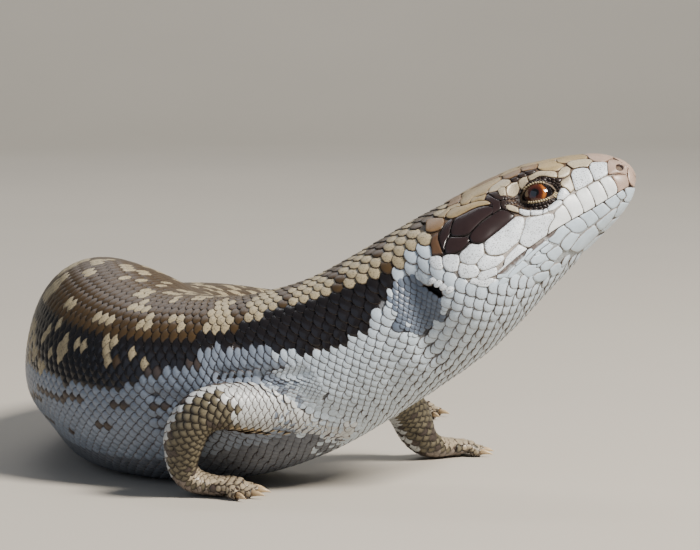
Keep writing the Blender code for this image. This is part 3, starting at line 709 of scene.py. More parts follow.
@dataclass
class Plate:
    """The pattern of one overlapping scale: rings of points from its middle to its root."""

    sides: int = 12
    rings: tuple = ((0.0, 0.0, 0.0), (0.86, 0.0, 0.84), (1.0, 0.10, 1.0), (0.95, 0.42, 1.0))

    def points(self, square: np.ndarray) -> tuple[np.ndarray, ...]:
        """Places along and across, drop and rim value of each vertex.

        Args:
            square: how square each scale's outline is (2 is round, under 2 pointed).

        Returns:
            Two arrays as (scale, vertex), then two of one value for each vertex.
        """
        turn = 2 * math.pi * np.arange(self.sides) / self.sides
        c, v = np.cos(turn)[None], np.sin(turn)[None]
        n = square[:, None]
        reach = (np.abs(c) ** n + np.abs(v) ** n) ** (-1 / n)
        zero = np.zeros((len(square), 1))
        x, y, drop, rim = [zero], [zero], [np.zeros(1)], [np.zeros(1)]
        for size, fall, edge in self.rings[1:]:
            x.append(size * reach * c)
            y.append(size * reach * v)
            drop.append(np.full(self.sides, fall))
            rim.append(np.full(self.sides, edge))
        return np.concatenate(x, 1), np.concatenate(y, 1), np.concatenate(drop), np.concatenate(rim)

    def faces(self) -> list[np.ndarray]:
        """Triangles, quads and the closing face below."""
        n = self.sides
        ring = [1 + k * n + np.arange(n) for k in range(len(self.rings) - 1)]
        fan = np.stack([np.zeros(n, int), ring[0], np.roll(ring[0], -1)], 1)
        walls = [np.stack([a, b, np.roll(b, -1), np.roll(a, -1)], 1) for a, b in zip(ring[:-1], ring[1:])]
        return [fan, np.concatenate(walls), ring[-1][::-1][None, :]]


@dataclass
class Batch:
    """Scales of one piece, all on one chart."""

    chart: Chart
    s: np.ndarray
    share: np.ndarray
    length: np.ndarray
    width: np.ndarray
    sorts: np.ndarray
    square: np.ndarray = None
    lift: np.ndarray = None
    shift: np.ndarray = None
    uv_box: tuple = (0.0, 1.0, 0.0, 1.0)

    def keep(self, mask: np.ndarray) -> "Batch":
        """The same scales with some left out."""
        names = ("s", "share", "length", "width", "sorts", "square", "lift", "shift")
        cut = {k: getattr(self, k)[mask] for k in names if getattr(self, k) is not None}
        return Batch(self.chart, uv_box=self.uv_box, **cut)


class Coat:
    """Makes joined meshes of overlapping scales."""

    PLATE = Plate()
    SLOPE, DOME, BASE = 0.25, 0.13, -0.24

    def __init__(self, name: str) -> None:
        """An empty coat piece."""
        self.name = name
        self.parts: list[dict] = []

    def add(self, batch: Batch) -> None:
        """Add the scales of a batch.

        Args:
            batch: the scales, with half length and half width in millimetres.
        """
        if not len(batch.s):
            return
        square = np.full(len(batch.s), 2.3) if batch.square is None else batch.square
        x, y, drop, rim = self.PLATE.points(square)
        chart = batch.chart
        half = chart.half(batch.s)
        stretch = np.maximum(chart.pick(chart.stretch, batch.s, batch.share), 0.35)
        back = np.where(x > 0, 1.0, 0.92)
        s = batch.s[:, None] + batch.length[:, None] * (x * back) / stretch[:, None]
        share = batch.share[:, None] + batch.width[:, None] * y / half[:, None]
        points, normals = chart.at(s, share)
        size = np.clip(batch.length / 1.7, 0.35, 1.15)[:, None]
        height = self.BASE + self.SLOPE * x + self.DOME * (1 - np.minimum(1, x * x + y * y)) - drop
        lift = 0.0 if batch.lift is None else batch.lift[:, None]
        points = points + normals * (height * size + lift)[..., None]
        if batch.shift is not None:
            points = points + batch.shift[:, None, :]
        points[..., 2] = np.maximum(points[..., 2], 0.02)
        u0, u1, v0, v1 = batch.uv_box
        low, high = batch.s.min() - 2.5, batch.s.max() + 2.5
        tight = 0.62
        us = (batch.s[:, None] + (s - batch.s[:, None]) * tight - low) / (high - low)
        vs = (np.mod(batch.share[:, None] + 1, 2) + (share - batch.share[:, None]) * tight) / 2
        places = np.stack([u0 + (u1 - u0) * us, v0 + (v1 - v0) * np.clip(vs, 0, 1)], -1)
        shade = 1 + 0.10 * (RNG.random(len(batch.s)) - 0.5)
        tint = np.concatenate([MIDDLES[batch.sorts] * shade[:, None], TRAITS[batch.sorts, :1]], 1)
        edge = np.concatenate([EDGES[batch.sorts], TRAITS[batch.sorts, 1:2]], 1)
        count = len(drop)
        self.parts.append({
            "points": points.reshape(-1, 3), "places": places.reshape(-1, 2), "count": len(batch.s),
            "rim": np.tile(rim, len(batch.s)), "tint": np.repeat(tint, count, axis=0),
            "edge": np.repeat(edge, count, axis=0), "gloss": np.repeat(TRAITS[batch.sorts, 2], count)})

    def build(self, material: bpy.types.Material) -> bpy.types.Object:
        """Join all the scales into one piece and dress it."""
        total = sum(part["count"] for part in self.parts)
        count = 1 + self.PLATE.sides * (len(self.PLATE.rings) - 1)
        start = (np.arange(total) * count)[:, None, None]
        faces = [(f[None] + start).reshape(-1, f.shape[1]) for f in self.PLATE.faces()]
        both = {k: np.concatenate([part[k] for part in self.parts])
                for k in ("points", "places", "rim", "tint", "edge", "gloss")}
        item = new_object(self.name, both["points"], faces)
        for name, kind in SCALE_LAYERS:
            paint(item, name, kind, both[name])
        bake_map(item, both["places"])
        finish_piece(item, material)
        LOG.info("%s: %d scales, %d triangles", self.name, total, triangles(item))
        return item


def triangles(item: bpy.types.Object) -> int:
    """Count of triangles in a piece."""
    return sum(len(p.vertices) - 2 for p in item.data.polygons)


def finish_piece(item: bpy.types.Object, material: bpy.types.Material) -> None:
    """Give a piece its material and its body."""
    item.data.materials.append(material)
    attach(item, "root")


def add_node(tree: bpy.types.NodeTree, kind: str, inputs: dict = None, **settings) -> bpy.types.Node:
    """Add a node with its settings and links.

    Args:
        tree: the material's node tree.
        kind: the node's type.
        inputs: for each socket, by name or number, a value or the output to link.
        settings: properties of the node.

    Returns:
        The node.
    """
    node = tree.nodes.new(kind)
    for key, value in settings.items():
        setattr(node, key, value)
    for key, value in (inputs or {}).items():
        if isinstance(value, bpy.types.NodeSocket):
            tree.links.new(value, node.inputs[key])
        else:
            node.inputs[key].default_value = value
    return node


def start_material(name: str) -> tuple[bpy.types.Material, bpy.types.NodeTree, bpy.types.Node]:
    """A new material, its node tree and its shader."""
    material = bpy.data.materials.new(name)
    material.use_nodes = True
    tree = material.node_tree
    return material, tree, tree.nodes["Principled BSDF"]


@dataclass(frozen=True)
class ScaleFinish:
    """Keratin scale of a live skink: smooth, a little domed, with a thin dark edge."""

    name: str = "keratin_scale"
    freckle: str = "#2B2420"
    freckle_mm: float = 0.27
    mottle_mm: float = 3.0
    grain_mm: float = 0.12
    dull: float = 0.46
    bright: float = 0.20

    def make(self) -> bpy.types.Material:
        """Build the material from the piece's own attributes."""
        material, tree, shader = start_material(self.name)
        place = add_node(tree, "ShaderNodeTexCoord").outputs["Object"]
        tint = add_node(tree, "ShaderNodeAttribute", attribute_name="tint")
        edge = add_node(tree, "ShaderNodeAttribute", attribute_name="edge")
        rim = add_node(tree, "ShaderNodeAttribute", attribute_name="rim").outputs["Fac"]
        gloss = add_node(tree, "ShaderNodeAttribute", attribute_name="gloss").outputs["Fac"]
        # Uneven pigment over several scales.
        mottle = add_node(tree, "ShaderNodeTexNoise", {"Vector": place, "Scale": 1 / (self.mottle_mm * MM),
                                                       "Detail": 4.0, "Roughness": 0.6})
        light = add_node(tree, "ShaderNodeMapRange", {"Value": mottle.outputs["Fac"], 1: 0.3, 2: 0.7,
                                                      3: 0.84, 4: 1.10})
        body = add_node(tree, "ShaderNodeMix", {0: 1.0, 6: tint.outputs["Color"],
                                                7: light.outputs[0]}, data_type="RGBA", blend_type="MULTIPLY")
        # Pinprick freckles of dark pigment.
        speck = add_node(tree, "ShaderNodeTexNoise", {"Vector": place, "Scale": 1 / (self.freckle_mm * MM),
                                                      "Detail": 2.0, "Roughness": 0.55})
        spot = add_node(tree, "ShaderNodeMapRange", {"Value": speck.outputs["Fac"], 1: 0.585, 2: 0.64})
        amount = add_node(tree, "ShaderNodeMath", {0: spot.outputs[0], 1: tint.outputs["Alpha"]},
                          operation="MULTIPLY")
        freckled = add_node(tree, "ShaderNodeMix", {0: amount.outputs[0], 6: body.outputs[2],
                                                    7: linear(self.freckle)}, data_type="RGBA")
        # The edge darkens from where its width begins.
        begin = add_node(tree, "ShaderNodeMath", {0: 1.0, 1: edge.outputs["Alpha"]}, operation="SUBTRACT")
        wave = add_node(tree, "ShaderNodeMath", {0: speck.outputs["Fac"], 1: 0.25, 2: -0.125},
                        operation="MULTIPLY_ADD")
        rough_rim = add_node(tree, "ShaderNodeMath", {0: rim, 1: wave.outputs[0]}, operation="ADD")
        border = add_node(tree, "ShaderNodeMapRange", {"Value": rough_rim.outputs[0], 1: begin.outputs[0],
                                                       2: 1.0}, interpolation_type="SMOOTHSTEP")
        colour = add_node(tree, "ShaderNodeMix", {0: border.outputs[0], 6: freckled.outputs[2],
                                                  7: edge.outputs["Color"]}, data_type="RGBA")
        tree.links.new(colour.outputs[2], shader.inputs["Base Color"])
        dullness = add_node(tree, "ShaderNodeMapRange", {"Value": gloss, 3: self.dull, 4: self.bright})
        tree.links.new(dullness.outputs[0], shader.inputs["Roughness"])
        grain = add_node(tree, "ShaderNodeTexNoise", {"Vector": place, "Scale": 1 / (self.grain_mm * MM),
                                                      "Detail": 2.0})
        bump = add_node(tree, "ShaderNodeBump", {"Strength": 0.10, "Distance": 0.00004,
                                                 "Height": grain.outputs["Fac"]})
        tree.links.new(bump.outputs[0], shader.inputs["Normal"])
        shader.inputs["IOR"].default_value = 1.5
        shader.inputs["Specular IOR Level"].default_value = 0.38
        return material


@dataclass(frozen=True)
class SkinFinish:
    """Soft skin between the scales: matt, finely wrinkled, in the scales' own markings, with painted shade in
    the creases.
    """

    name: str = "folded_skin"
    wrinkle_mm: float = 0.45

    def make(self) -> bpy.types.Material:
        """Build the material from the skin's tint."""
        material, tree, shader = start_material(self.name)
        place = add_node(tree, "ShaderNodeTexCoord").outputs["Object"]
        tint = add_node(tree, "ShaderNodeAttribute", attribute_name="tint")
        cells = add_node(tree, "ShaderNodeTexVoronoi", {"Vector": place, "Scale": 1 / (self.wrinkle_mm * MM)},
                         feature="DISTANCE_TO_EDGE")
        # painted shade: the colour darkens to 55% along the wrinkles' creases
        crease_shade = add_node(tree, "ShaderNodeMapRange", {"Value": cells.outputs["Distance"], 1: 0.0, 2: 0.22,
                                                       3: 0.55, 4: 1.05})
        colour = add_node(tree, "ShaderNodeMix", {0: 1.0, 6: tint.outputs["Color"], 7: crease_shade.outputs[0]},
                          data_type="RGBA", blend_type="MULTIPLY")
        tree.links.new(colour.outputs[2], shader.inputs["Base Color"])
        bump = add_node(tree, "ShaderNodeBump", {"Strength": 0.5, "Distance": 0.00015,
                                                 "Height": cells.outputs["Distance"]})
        tree.links.new(bump.outputs[0], shader.inputs["Normal"])
        shader.inputs["Roughness"].default_value = 0.58
        return material


@dataclass(frozen=True)
class EyeFinish:
    """A wet eyeball: black round pupil, red-brown iris with an amber crescent ahead that is painted light on
    its lit side, dark rim.
    """

    name: str = "wet_eye"
    pupil_mm: float = 0.9
    rings: tuple = ((0.0, "#240C05"), (0.95, "#2E0F07"), (1.3, "#3E170A"), (1.8, "#49200E"), (2.2, "#38150A"),
                    (2.5, "#1C0B07"), (3.0, "#0C0605"))
    lit_amber: str = "#9A5A22"

    def make(self) -> bpy.types.Material:
        """Build the material from the distance to the pupil's middle."""
        material, tree, shader = start_material(self.name)
        away = add_node(tree, "ShaderNodeAttribute", attribute_name="away").outputs["Fac"]
        ahead = add_node(tree, "ShaderNodeAttribute", attribute_name="ahead").outputs["Fac"]
        place = add_node(tree, "ShaderNodeTexCoord").outputs["Object"]
        fibre = add_node(tree, "ShaderNodeTexNoise",
                         {"Vector": place, "Scale": 1 / (0.3 * MM), "Detail": 3.0})
        uneven = add_node(tree, "ShaderNodeMath", {0: fibre.outputs["Fac"], 1: 0.6, 2: -0.3},
                          operation="MULTIPLY_ADD")
        spread = add_node(tree, "ShaderNodeMath", {0: away, 1: uneven.outputs[0]}, operation="ADD")
        scaled = add_node(tree, "ShaderNodeMath", {0: spread.outputs[0], 1: 4.0}, operation="DIVIDE")
        ramp = add_node(tree, "ShaderNodeValToRGB", {0: scaled.outputs[0]})
        elements = ramp.color_ramp.elements
        elements[0].position, elements[0].color = self.rings[0][0] / 4, linear(self.rings[0][1])
        elements[1].position, elements[1].color = self.rings[-1][0] / 4, linear(self.rings[-1][1])
        for spot, code in self.rings[1:-1]:
            elements.new(spot / 4).color = linear(code)
        rise = add_node(tree, "ShaderNodeMapRange", {"Value": spread.outputs[0], 1: 1.5, 2: 2.1},
                        interpolation_type="SMOOTHSTEP")
        fall = add_node(tree, "ShaderNodeMapRange",
                        {"Value": spread.outputs[0], 1: 2.25, 2: 2.55, 3: 1.0, 4: 0.0},
                        interpolation_type="SMOOTHSTEP")
        # painted light: the iris turns amber in a crescent on its front side, standing for its lit side
        front = add_node(tree, "ShaderNodeMapRange", {"Value": ahead, 1: 0.9, 2: 2.0},
                         interpolation_type="SMOOTHSTEP")
        both = add_node(tree, "ShaderNodeMath", {0: rise.outputs[0], 1: fall.outputs[0]},
                        operation="MULTIPLY")
        lit_crescent = add_node(tree, "ShaderNodeMath", {0: both.outputs[0], 1: front.outputs[0]},
                            operation="MULTIPLY")
        iris = add_node(tree, "ShaderNodeMix", {0: lit_crescent.outputs[0], 6: ramp.outputs[0],
                                                7: linear(self.lit_amber)}, data_type="RGBA")
        hole = add_node(tree, "ShaderNodeMapRange", {"Value": away, 1: self.pupil_mm - 0.05,
                                                     2: self.pupil_mm + 0.05})
        colour = add_node(tree, "ShaderNodeMix", {0: hole.outputs[0], 6: linear("#050404"),
                                                  7: iris.outputs[2]}, data_type="RGBA")
        tree.links.new(colour.outputs[2], shader.inputs["Base Color"])
        shader.inputs["Roughness"].default_value = 0.08
        shader.inputs["IOR"].default_value = 1.38
        shader.inputs["Coat Weight"].default_value = 1.0
        shader.inputs["Coat Roughness"].default_value = 0.02
        return material


@dataclass(frozen=True)
class ClawFinish:
    """Horn claw: pale amber, darker at its root, smooth and half glossy."""

    name: str = "horn_claw"
    root: str = "#6B5238"
    tip: str = "#C7AE88"

    def make(self) -> bpy.types.Material:
        """Build the material from the distance along the claw."""
        material, tree, shader = start_material(self.name)
        along = add_node(tree, "ShaderNodeAttribute", attribute_name="along").outputs["Fac"]
        place = add_node(tree, "ShaderNodeTexCoord").outputs["Object"]
        streak = add_node(tree, "ShaderNodeTexNoise",
                          {"Vector": place, "Scale": 1 / (0.3 * MM), "Detail": 3.0})
        mixed = add_node(tree, "ShaderNodeMath", {0: streak.outputs["Fac"], 1: 0.4, 2: along},
                         operation="MULTIPLY_ADD")
        share = add_node(tree, "ShaderNodeMapRange", {"Value": mixed.outputs[0], 1: 0.1, 2: 0.9})
        colour = add_node(tree, "ShaderNodeMix", {0: share.outputs[0], 6: linear(self.root),
                                                  7: linear(self.tip)}, data_type="RGBA")
        tree.links.new(colour.outputs[2], shader.inputs["Base Color"])
        shader.inputs["Roughness"].default_value = 0.32
        shader.inputs["Subsurface Weight"].default_value = 0.15
        shader.inputs["Subsurface Radius"].default_value = (0.0006, 0.0004, 0.0002)
        return material


@dataclass(frozen=True)
class FloorFinish:
    """Plain pale studio floor, matt."""

    name: str = "studio_floor"
    colour: str = "#B9B2A6"

    def make(self) -> bpy.types.Material:
        """Build the material with a faint unevenness."""
        material, tree, shader = start_material(self.name)
        place = add_node(tree, "ShaderNodeTexCoord").outputs["Object"]
        cloud = add_node(tree, "ShaderNodeTexNoise", {"Vector": place, "Scale": 6.0, "Detail": 3.0})
        level = add_node(tree, "ShaderNodeMapRange", {"Value": cloud.outputs["Fac"], 3: 0.96, 4: 1.04})
        colour = add_node(tree, "ShaderNodeMix", {0: 1.0, 6: linear(self.colour), 7: level.outputs[0]},
                          data_type="RGBA", blend_type="MULTIPLY")
        tree.links.new(colour.outputs[2], shader.inputs["Base Color"])
        shader.inputs["Roughness"].default_value = 0.85
        return material


@dataclass
class Orbit:
    """One eye: its ball, the frame of its opening, and how the lids fit over the ball."""

    plan: BodyPlan
    side: int
    centre: np.ndarray = field(init=False)
    axes: tuple = field(init=False)

    def __post_init__(self) -> None:
        """Place the eye in the head."""
        point, along, left, up = self.plan.frame_at(EYE_STATION)
        self.centre = point + self.side * EYE_ACROSS * left + EYE_UP * up
        tilt = math.radians(EYE_TILT)
        out = self.side * math.cos(tilt) * left + math.sin(tilt) * up
        high = unit(up - (up @ out) * out)
        back = unit(along - (along @ out) * out)
        c, v = math.cos(math.radians(EYE_ROLL)), math.sin(math.radians(EYE_ROLL))
        self.axes = (c * back + v * high, c * high - v * back, out)

    def place(self, points: np.ndarray) -> tuple[np.ndarray, ...]:
        """Distance outside the almond-shaped opening, and the place in its frame."""
        away = points - self.centre
        x, y, z = (away @ axis for axis in self.axes)
        n, a, b = 1.75, *EYE_OPENING
        f = np.maximum((np.abs(x / a) ** n + np.abs(y / b) ** n) ** (1 / n), 0.05)
        slope = f ** (1 - n) * np.hypot(np.abs(x) ** (n - 1) / a ** n, np.abs(y) ** (n - 1) / b ** n)
        gap = (f - 1) / np.maximum(slope, 0.08)
        return np.where(z < 0.3, 9.0, gap), x, y, z

    def fit(self, points: np.ndarray, skin: bool) -> np.ndarray:
        """Lay points of the head's outer surface over the eyeball as lids.

        Args:
            points: points of the outer surface.
            skin: whether they are of the skin, which also dips behind the ball.

        Returns:
            The fitted points.
        """
        gap, x, y, z = self.place(points)
        hold = 1 - ease(gap, 0.5, 3.4)
        lid = np.sqrt((EYE_RADIUS + 0.5) ** 2 - np.minimum(x * x + y * y, 3.9 ** 2))
        level = z * (1 - hold) + lid * hold
        if skin:
            level = np.where(gap < 0, lid - 1.7 * ease(-gap, 0.0, 0.3), level)
        move = np.where(hold > 0, level - z, 0.0)
        return points + move[..., None] * self.axes[2]


class HeadSurface:
    """The head's outer surface with lids over the eyes."""

    def __init__(self, plan: BodyPlan) -> None:
        """Take the plan and place both eyes."""
        self.plan = plan
        self.orbits = [Orbit(plan, side) for side in (-1, 1)]

    def point(self, s: np.ndarray, share: np.ndarray) -> np.ndarray:
        """Points of the surface."""
        spots, _ = self.plan.chart.at(s, share)
        for orbit in self.orbits:
            spots = orbit.fit(spots, skin=False)
        return spots

    def at(self, s: np.ndarray, share: np.ndarray) -> tuple[np.ndarray, np.ndarray]:
        """Points of the surface and their outward normals."""
        spots = self.point(s, share)
        ahead = self.point(s + 0.15, share) - self.point(s - 0.15, share)
        around = self.point(s, share + 0.004) - self.point(s, share - 0.004)
        normal = unit(np.cross(ahead, around))
        _, rough = self.plan.chart.at(s, share)
        flip = np.sign((normal * rough).sum(-1, keepdims=True))
        return spots, normal * np.where(flip == 0, 1, flip)


@dataclass
class Shield:
    """One plate of the head: its sort and the seeds that claim its ground."""

    sort: Sort
    seeds: tuple
    place: str = "top"
    dome: float = 0.10


@dataclass
class Drawn:
    """One plate of the head drawn by its corners.

    The lip value is 1 above the mouth line, -1 below it and 0 away from it. Corners are pixels on
    the photograph. A plate that the photograph shows edge on has stations and distances round
    from the crown instead.
    """

    sort: Sort
    dome: float
    lip: int
    corners: tuple
    edge_on: bool = False


# Shields of the cheek, lips, brow, temple and the throat's side. The corners were picked on the photograph.
DRAWN_SHIELDS = {
    "upper_lip_1": Drawn(Sort.SNOUT, 0.1, 1, ((611.5, 175.3), (620, 174), (627.5, 174.8), (629, 180),
        (628.3, 184), (622, 188.5), (617.7, 193.2), (617.8, 188), (616, 183), (613.5, 179))),
    "nasal": Drawn(Sort.SNOUT, 0.16, 0, ((2.4, 3), (3.4, 4.1), (4.3, 6.1), (4.9, 7.9), (5.6, 9.9),
        (4.6, 9.4), (3.2, 8.8), (1.8, 7.9), (0.7, 5.6), (0.2, 3.6), (1, 2.8)), True),
    "upper_lip_2": Drawn(Sort.LIP, 0.1, 1, ((599.5, 180.3), (603, 177.3), (607.5, 175.6), (610.5, 176),
        (613.5, 179.5), (616, 183.5), (617.6, 188), (617.5, 193.5), (615, 196), (611, 198.5),
        (607.7, 200.3), (607.3, 196), (605.5, 190.5), (602.8, 185))),
    "upper_lip_3": Drawn(Sort.LIP, 0.1, 1, ((587, 186.2), (593, 182.5), (598.5, 180.3), (602.8, 185.5),
        (605.3, 190.5), (607, 196), (607.2, 200.5), (602, 203.3), (596, 206.6), (595.2, 202),
        (592.5, 195.5), (589.5, 190))),
    "upper_lip_4": Drawn(Sort.LIP, 0.1, 1, ((575.8, 191.8), (580, 188.8), (586, 186.3), (589.3, 190),
        (592.2, 195.5), (594.8, 202), (595.5, 206.5), (590, 209.2), (584, 212.3), (583, 207.5),
        (580, 201.5), (577, 196))),
    "upper_lip_5": Drawn(Sort.LIP, 0.1, 1, ((563, 203), (564.5, 199), (569, 195), (574.5, 192.5),
        (577, 196), (580, 201.5), (583, 207.5), (583.7, 212.5), (577, 216.5), (571, 220.3), (571, 216.5),
        (569, 211.5), (566, 206.5))),
    "upper_lip_6": Drawn(Sort.LIP, 0.1, 1, ((554.5, 212.5), (558, 208.8), (562.8, 204.2), (566, 207),
        (569, 212.5), (571.2, 218), (570.3, 220.8), (565, 225.2), (557, 231), (548.5, 237), (547, 232.5),
        (549, 227), (553, 221), (555.5, 217))),
    "upper_lip_7": Drawn(Sort.CHEEK, 0.1, 1, ((526, 217.5), (533, 216.5), (541, 215.5), (547, 213.5),
        (554, 212.8), (555, 217.5), (552.5, 221.5), (548.5, 227), (546.5, 232.5), (547.8, 237.5),
        (541, 243), (535, 247.5), (530.5, 250.5), (524, 246.5), (519, 243), (521, 236), (524.5, 226),
        (525.5, 217.5))),
    "upper_lip_8": Drawn(Sort.CHEEK, 0.1, 1, ((519, 243.5), (524, 246.8), (530, 251), (525, 256),
        (518, 262), (512, 268), (506, 274), (503, 276), (498, 273.5), (497, 270.5), (502, 266), (505, 259),
        (511, 252))),
    "cheek_oval": Drawn(Sort.CHEEK, 0.24, 0, ((516.5, 215.5), (525, 217.3), (524.5, 226), (521, 236),
        (518.7, 242.5), (514, 245), (509, 250.5), (503.5, 254), (496, 255.7), (488.5, 254.8), (484.8, 250),
        (484, 242.5), (489, 238.5), (497, 232), (506, 225), (512, 219.5))),
    "cheek_1": Drawn(Sort.CHEEK, 0.16, 0, ((484.5, 253), (488, 255.5), (497, 256.5), (504, 254.5),
        (505, 259), (500, 264), (497, 266), (490, 269), (483, 271), (478, 268), (476.5, 263.5), (481, 258))),
    "cheek_2": Drawn(Sort.CHEEK, 0.18, 0, ((470.5, 243), (478, 244.5), (483.5, 242.5), (484.3, 250),
        (484, 254), (480.5, 258.5), (476, 264), (468, 264.5), (460.5, 262), (459, 255), (461, 251.5),
        (466, 247.5))),
    "cheek_3": Drawn(Sort.CHEEK, 0.16, 0, ((442.5, 256), (446, 254.5), (452, 254), (458.5, 254.5),
        (459.8, 261.5), (458, 267), (457.3, 271), (452, 272), (446.5, 270.5), (443, 266), (441.5, 261))),
    "cheek_4": Drawn(Sort.CHEEK, 0.16, 0, ((458.5, 266.5), (460, 262.5), (467.5, 265), (475.5, 264.5),
        (479, 269), (480, 272.5), (475.5, 277.5), (468, 278.5), (460.5, 277.8), (457.8, 272))),
    "cheek_5": Drawn(Sort.CHEEK, 0.14, 0, ((480.5, 272), (489, 269.5), (496.5, 266.8), (498, 271),
        (497.5, 275), (491, 277.3), (486.5, 279.3), (481, 281), (476.5, 278))),
    "cheek_7": Drawn(Sort.CHEEK, 0.14, 0, ((430, 256.5), (436, 255), (441.5, 256.5), (441.5, 262),
        (443.2, 267), (441, 270), (436, 270.5), (431, 267), (428.5, 261.5))),
    "lower_lip_1": Drawn(Sort.CHIN, 0.1, -1, ((617.3, 194.6), (620, 192.3), (624, 190), (626.8, 193.5),
        (627.3, 197), (625, 199.7), (622, 200.3), (619.5, 198))),
    "lower_lip_2": Drawn(Sort.CHIN, 0.1, -1, ((605.5, 202.3), (610, 199.7), (615.5, 196), (617.5, 196.5),
        (621.5, 200.8), (620, 204.5), (618, 207.5), (613.5, 210), (609, 206.5))),
    "lower_lip_3": Drawn(Sort.CHIN, 0.1, -1, ((592.5, 210), (599, 206.5), (604.5, 203.6), (608.5, 206.8),
        (612, 210.3), (608, 214.5), (604, 217.5), (600.3, 220), (598.5, 216), (596, 213))),
    "lower_lip_4": Drawn(Sort.CHIN, 0.1, -1, ((580, 217), (584, 214), (592.5, 210.3), (596, 213),
        (598.5, 216), (600, 219.7), (595.5, 224), (590, 228), (588.5, 228), (587.5, 225), (585.5, 221.5),
        (583, 219))),
    "lower_lip_5": Drawn(Sort.CHIN, 0.1, -1, ((566, 226), (572, 221.5), (579, 217.5), (583, 219),
        (585.5, 221.5), (587.5, 225), (588.5, 228), (584.5, 231.5), (580, 233.3), (575, 233.3),
        (572, 231.5), (570.5, 228.5), (567.5, 227.5))),
    "lower_lip_6": Drawn(Sort.CHIN, 0.1, 0, ((560.5, 245.5), (563, 241), (568, 235), (572, 231.5),
        (575, 233.5), (581, 234), (577, 241), (572, 247.5), (568.5, 251), (565.5, 251.5), (563, 249.5))),
    "lower_lip_7": Drawn(Sort.CHIN, 0.1, -1, ((548.5, 239), (554, 235), (560, 230), (565.5, 226.5),
        (567.5, 228), (570, 229), (571.5, 231.5), (567, 235.5), (562, 241), (559.5, 245), (554, 243),
        (549.5, 241.5))),
    "lower_lip_8": Drawn(Sort.CHIN, 0.1, -1, ((546, 240), (551, 241.8), (549, 243.5), (544, 247),
        (539.5, 250), (533, 256), (529.5, 260.5), (527, 262), (524, 259.5), (528, 255.5), (534, 250),
        (540, 245))),
    "lower_lip_9": Drawn(Sort.CHIN, 0.1, -1, ((523.5, 260), (527, 262.5), (529.5, 264.5), (524, 268.5),
        (517, 274), (511, 279), (507.5, 277), (512, 272), (517, 266))),
    "lower_lip_10": Drawn(Sort.CHIN, 0.1, -1, ((506.5, 277.5), (510.5, 279.5), (505, 285), (499, 289),
        (496, 287), (500, 281), (504, 277))),
    "chin_front": Drawn(Sort.CHIN, 0.1, 0, ((612.5, 210.5), (618, 207.5), (616, 214), (610, 223),
        (603.5, 230), (600, 231), (597.5, 228), (595.5, 224.5), (600.5, 220.3), (606, 216))),
    "chin_rear": Drawn(Sort.CHIN, 0.1, 0, ((595.5, 224.7), (597.5, 228), (599.3, 231), (599, 234.5),
        (592, 241.5), (585, 248.5), (578, 253), (570, 250), (573, 246.5), (577, 241), (581, 236),
        (585, 232), (590, 228.3))),
    "throat_1": Drawn(Sort.CHIN, 0.1, 0, ((547, 253.5), (553, 249), (559, 245.5), (563, 250), (563, 253),
        (558.5, 258), (555, 261.5), (551, 260), (547.5, 256.5))),
    "throat_2": Drawn(Sort.CHIN, 0.1, 0, ((540, 250), (545, 247), (550, 243), (554, 245.5), (551, 250),
        (546, 254), (541.5, 253.3))),
    "throat_3": Drawn(Sort.CHIN, 0.1, 0, ((530, 261), (534, 256), (540, 253.8), (545.5, 255), (546.5, 259),
        (543, 262.5), (538, 264.5), (532, 264.5))),
    "throat_4": Drawn(Sort.CHIN, 0.1, 0, ((541, 266.5), (546, 261.5), (551, 260.8), (555.5, 262.5),
        (553, 266), (549, 270), (544, 271.3), (541, 270))),
    "throat_5": Drawn(Sort.CHIN, 0.1, 0, ((550, 269), (556, 264), (560, 262.8), (562.5, 265.5),
        (562, 269.5), (558, 274), (553, 277.3), (551, 275.5))),
    "throat_6": Drawn(Sort.CHIN, 0.1, 0, ((533, 277), (538, 273.5), (544, 271.8), (549.5, 271.5),
        (549.5, 276), (546, 280), (541, 282.3), (536.5, 282), (533.8, 280))),
    "before_eye_1": Drawn(Sort.CHEEK, 0.1, 0, ((592, 161.5), (597, 161.3), (607.3, 161.8), (607.5, 167),
        (608, 174), (603, 177), (597.5, 180), (594.3, 180.8), (593, 176), (590.5, 170.3), (589.3, 167),
        (590, 163.5))),
    "before_eye_2": Drawn(Sort.CHEEK, 0.1, 0, ((570.8, 174.5), (573, 169.5), (577, 168), (583, 166.8),
        (588.5, 168), (591, 172), (593, 177.5), (593.5, 181.3), (587, 185), (580.5, 188.3), (575.5, 190.8),
        (574.3, 186), (572.3, 180))),
    "snout_ridge": Drawn(Sort.BROW, 0.12, 0, ((12.4, 6.5), (11.4, 5.3), (9.4, 4.6), (7.9, 4.5), (6.9, 4.8),
        (6.6, 5.6), (7.4, 6.4), (8.5, 7.8), (10.2, 7.8), (11.7, 8.3), (12.2, 7.1)), True),
    "eye_front": Drawn(Sort.BROW, 0.1, 0, ((560.5, 181.5), (565, 178), (569, 175), (570.5, 176), (572, 180),
        (574, 186), (574.8, 189.5), (571, 193.3), (569.5, 191.5), (567, 188.5), (563, 187), (560.5, 185))),
    "below_eye_1": Drawn(Sort.CHEEK, 0.12, 0, ((556.5, 195), (558.5, 190.5), (561.5, 187.7), (565, 187.7),
        (568, 190), (570.3, 193.8), (567, 197), (563.5, 200), (560, 199), (556, 198.5))),
    "below_eye_2": Drawn(Sort.CHEEK, 0.12, 0, ((548.8, 210.8), (547, 206), (550, 202.5), (555, 199.3),
        (560, 199.3), (563, 200.8), (562.5, 203.5), (558, 207.3), (553.5, 210.3))),
    "below_eye_3": Drawn(Sort.CHEEK, 0.1, 0, ((542.8, 208.3), (546.8, 206.5), (548.6, 211), (545, 213.3),
        (543, 213.8))),
    "below_eye_4": Drawn(Sort.CHEEK, 0.12, 0, ((530.5, 208.3), (536, 208.5), (542.5, 208.3), (542.8, 213.8),
        (538, 215.3), (531, 215.3), (530.3, 211))),
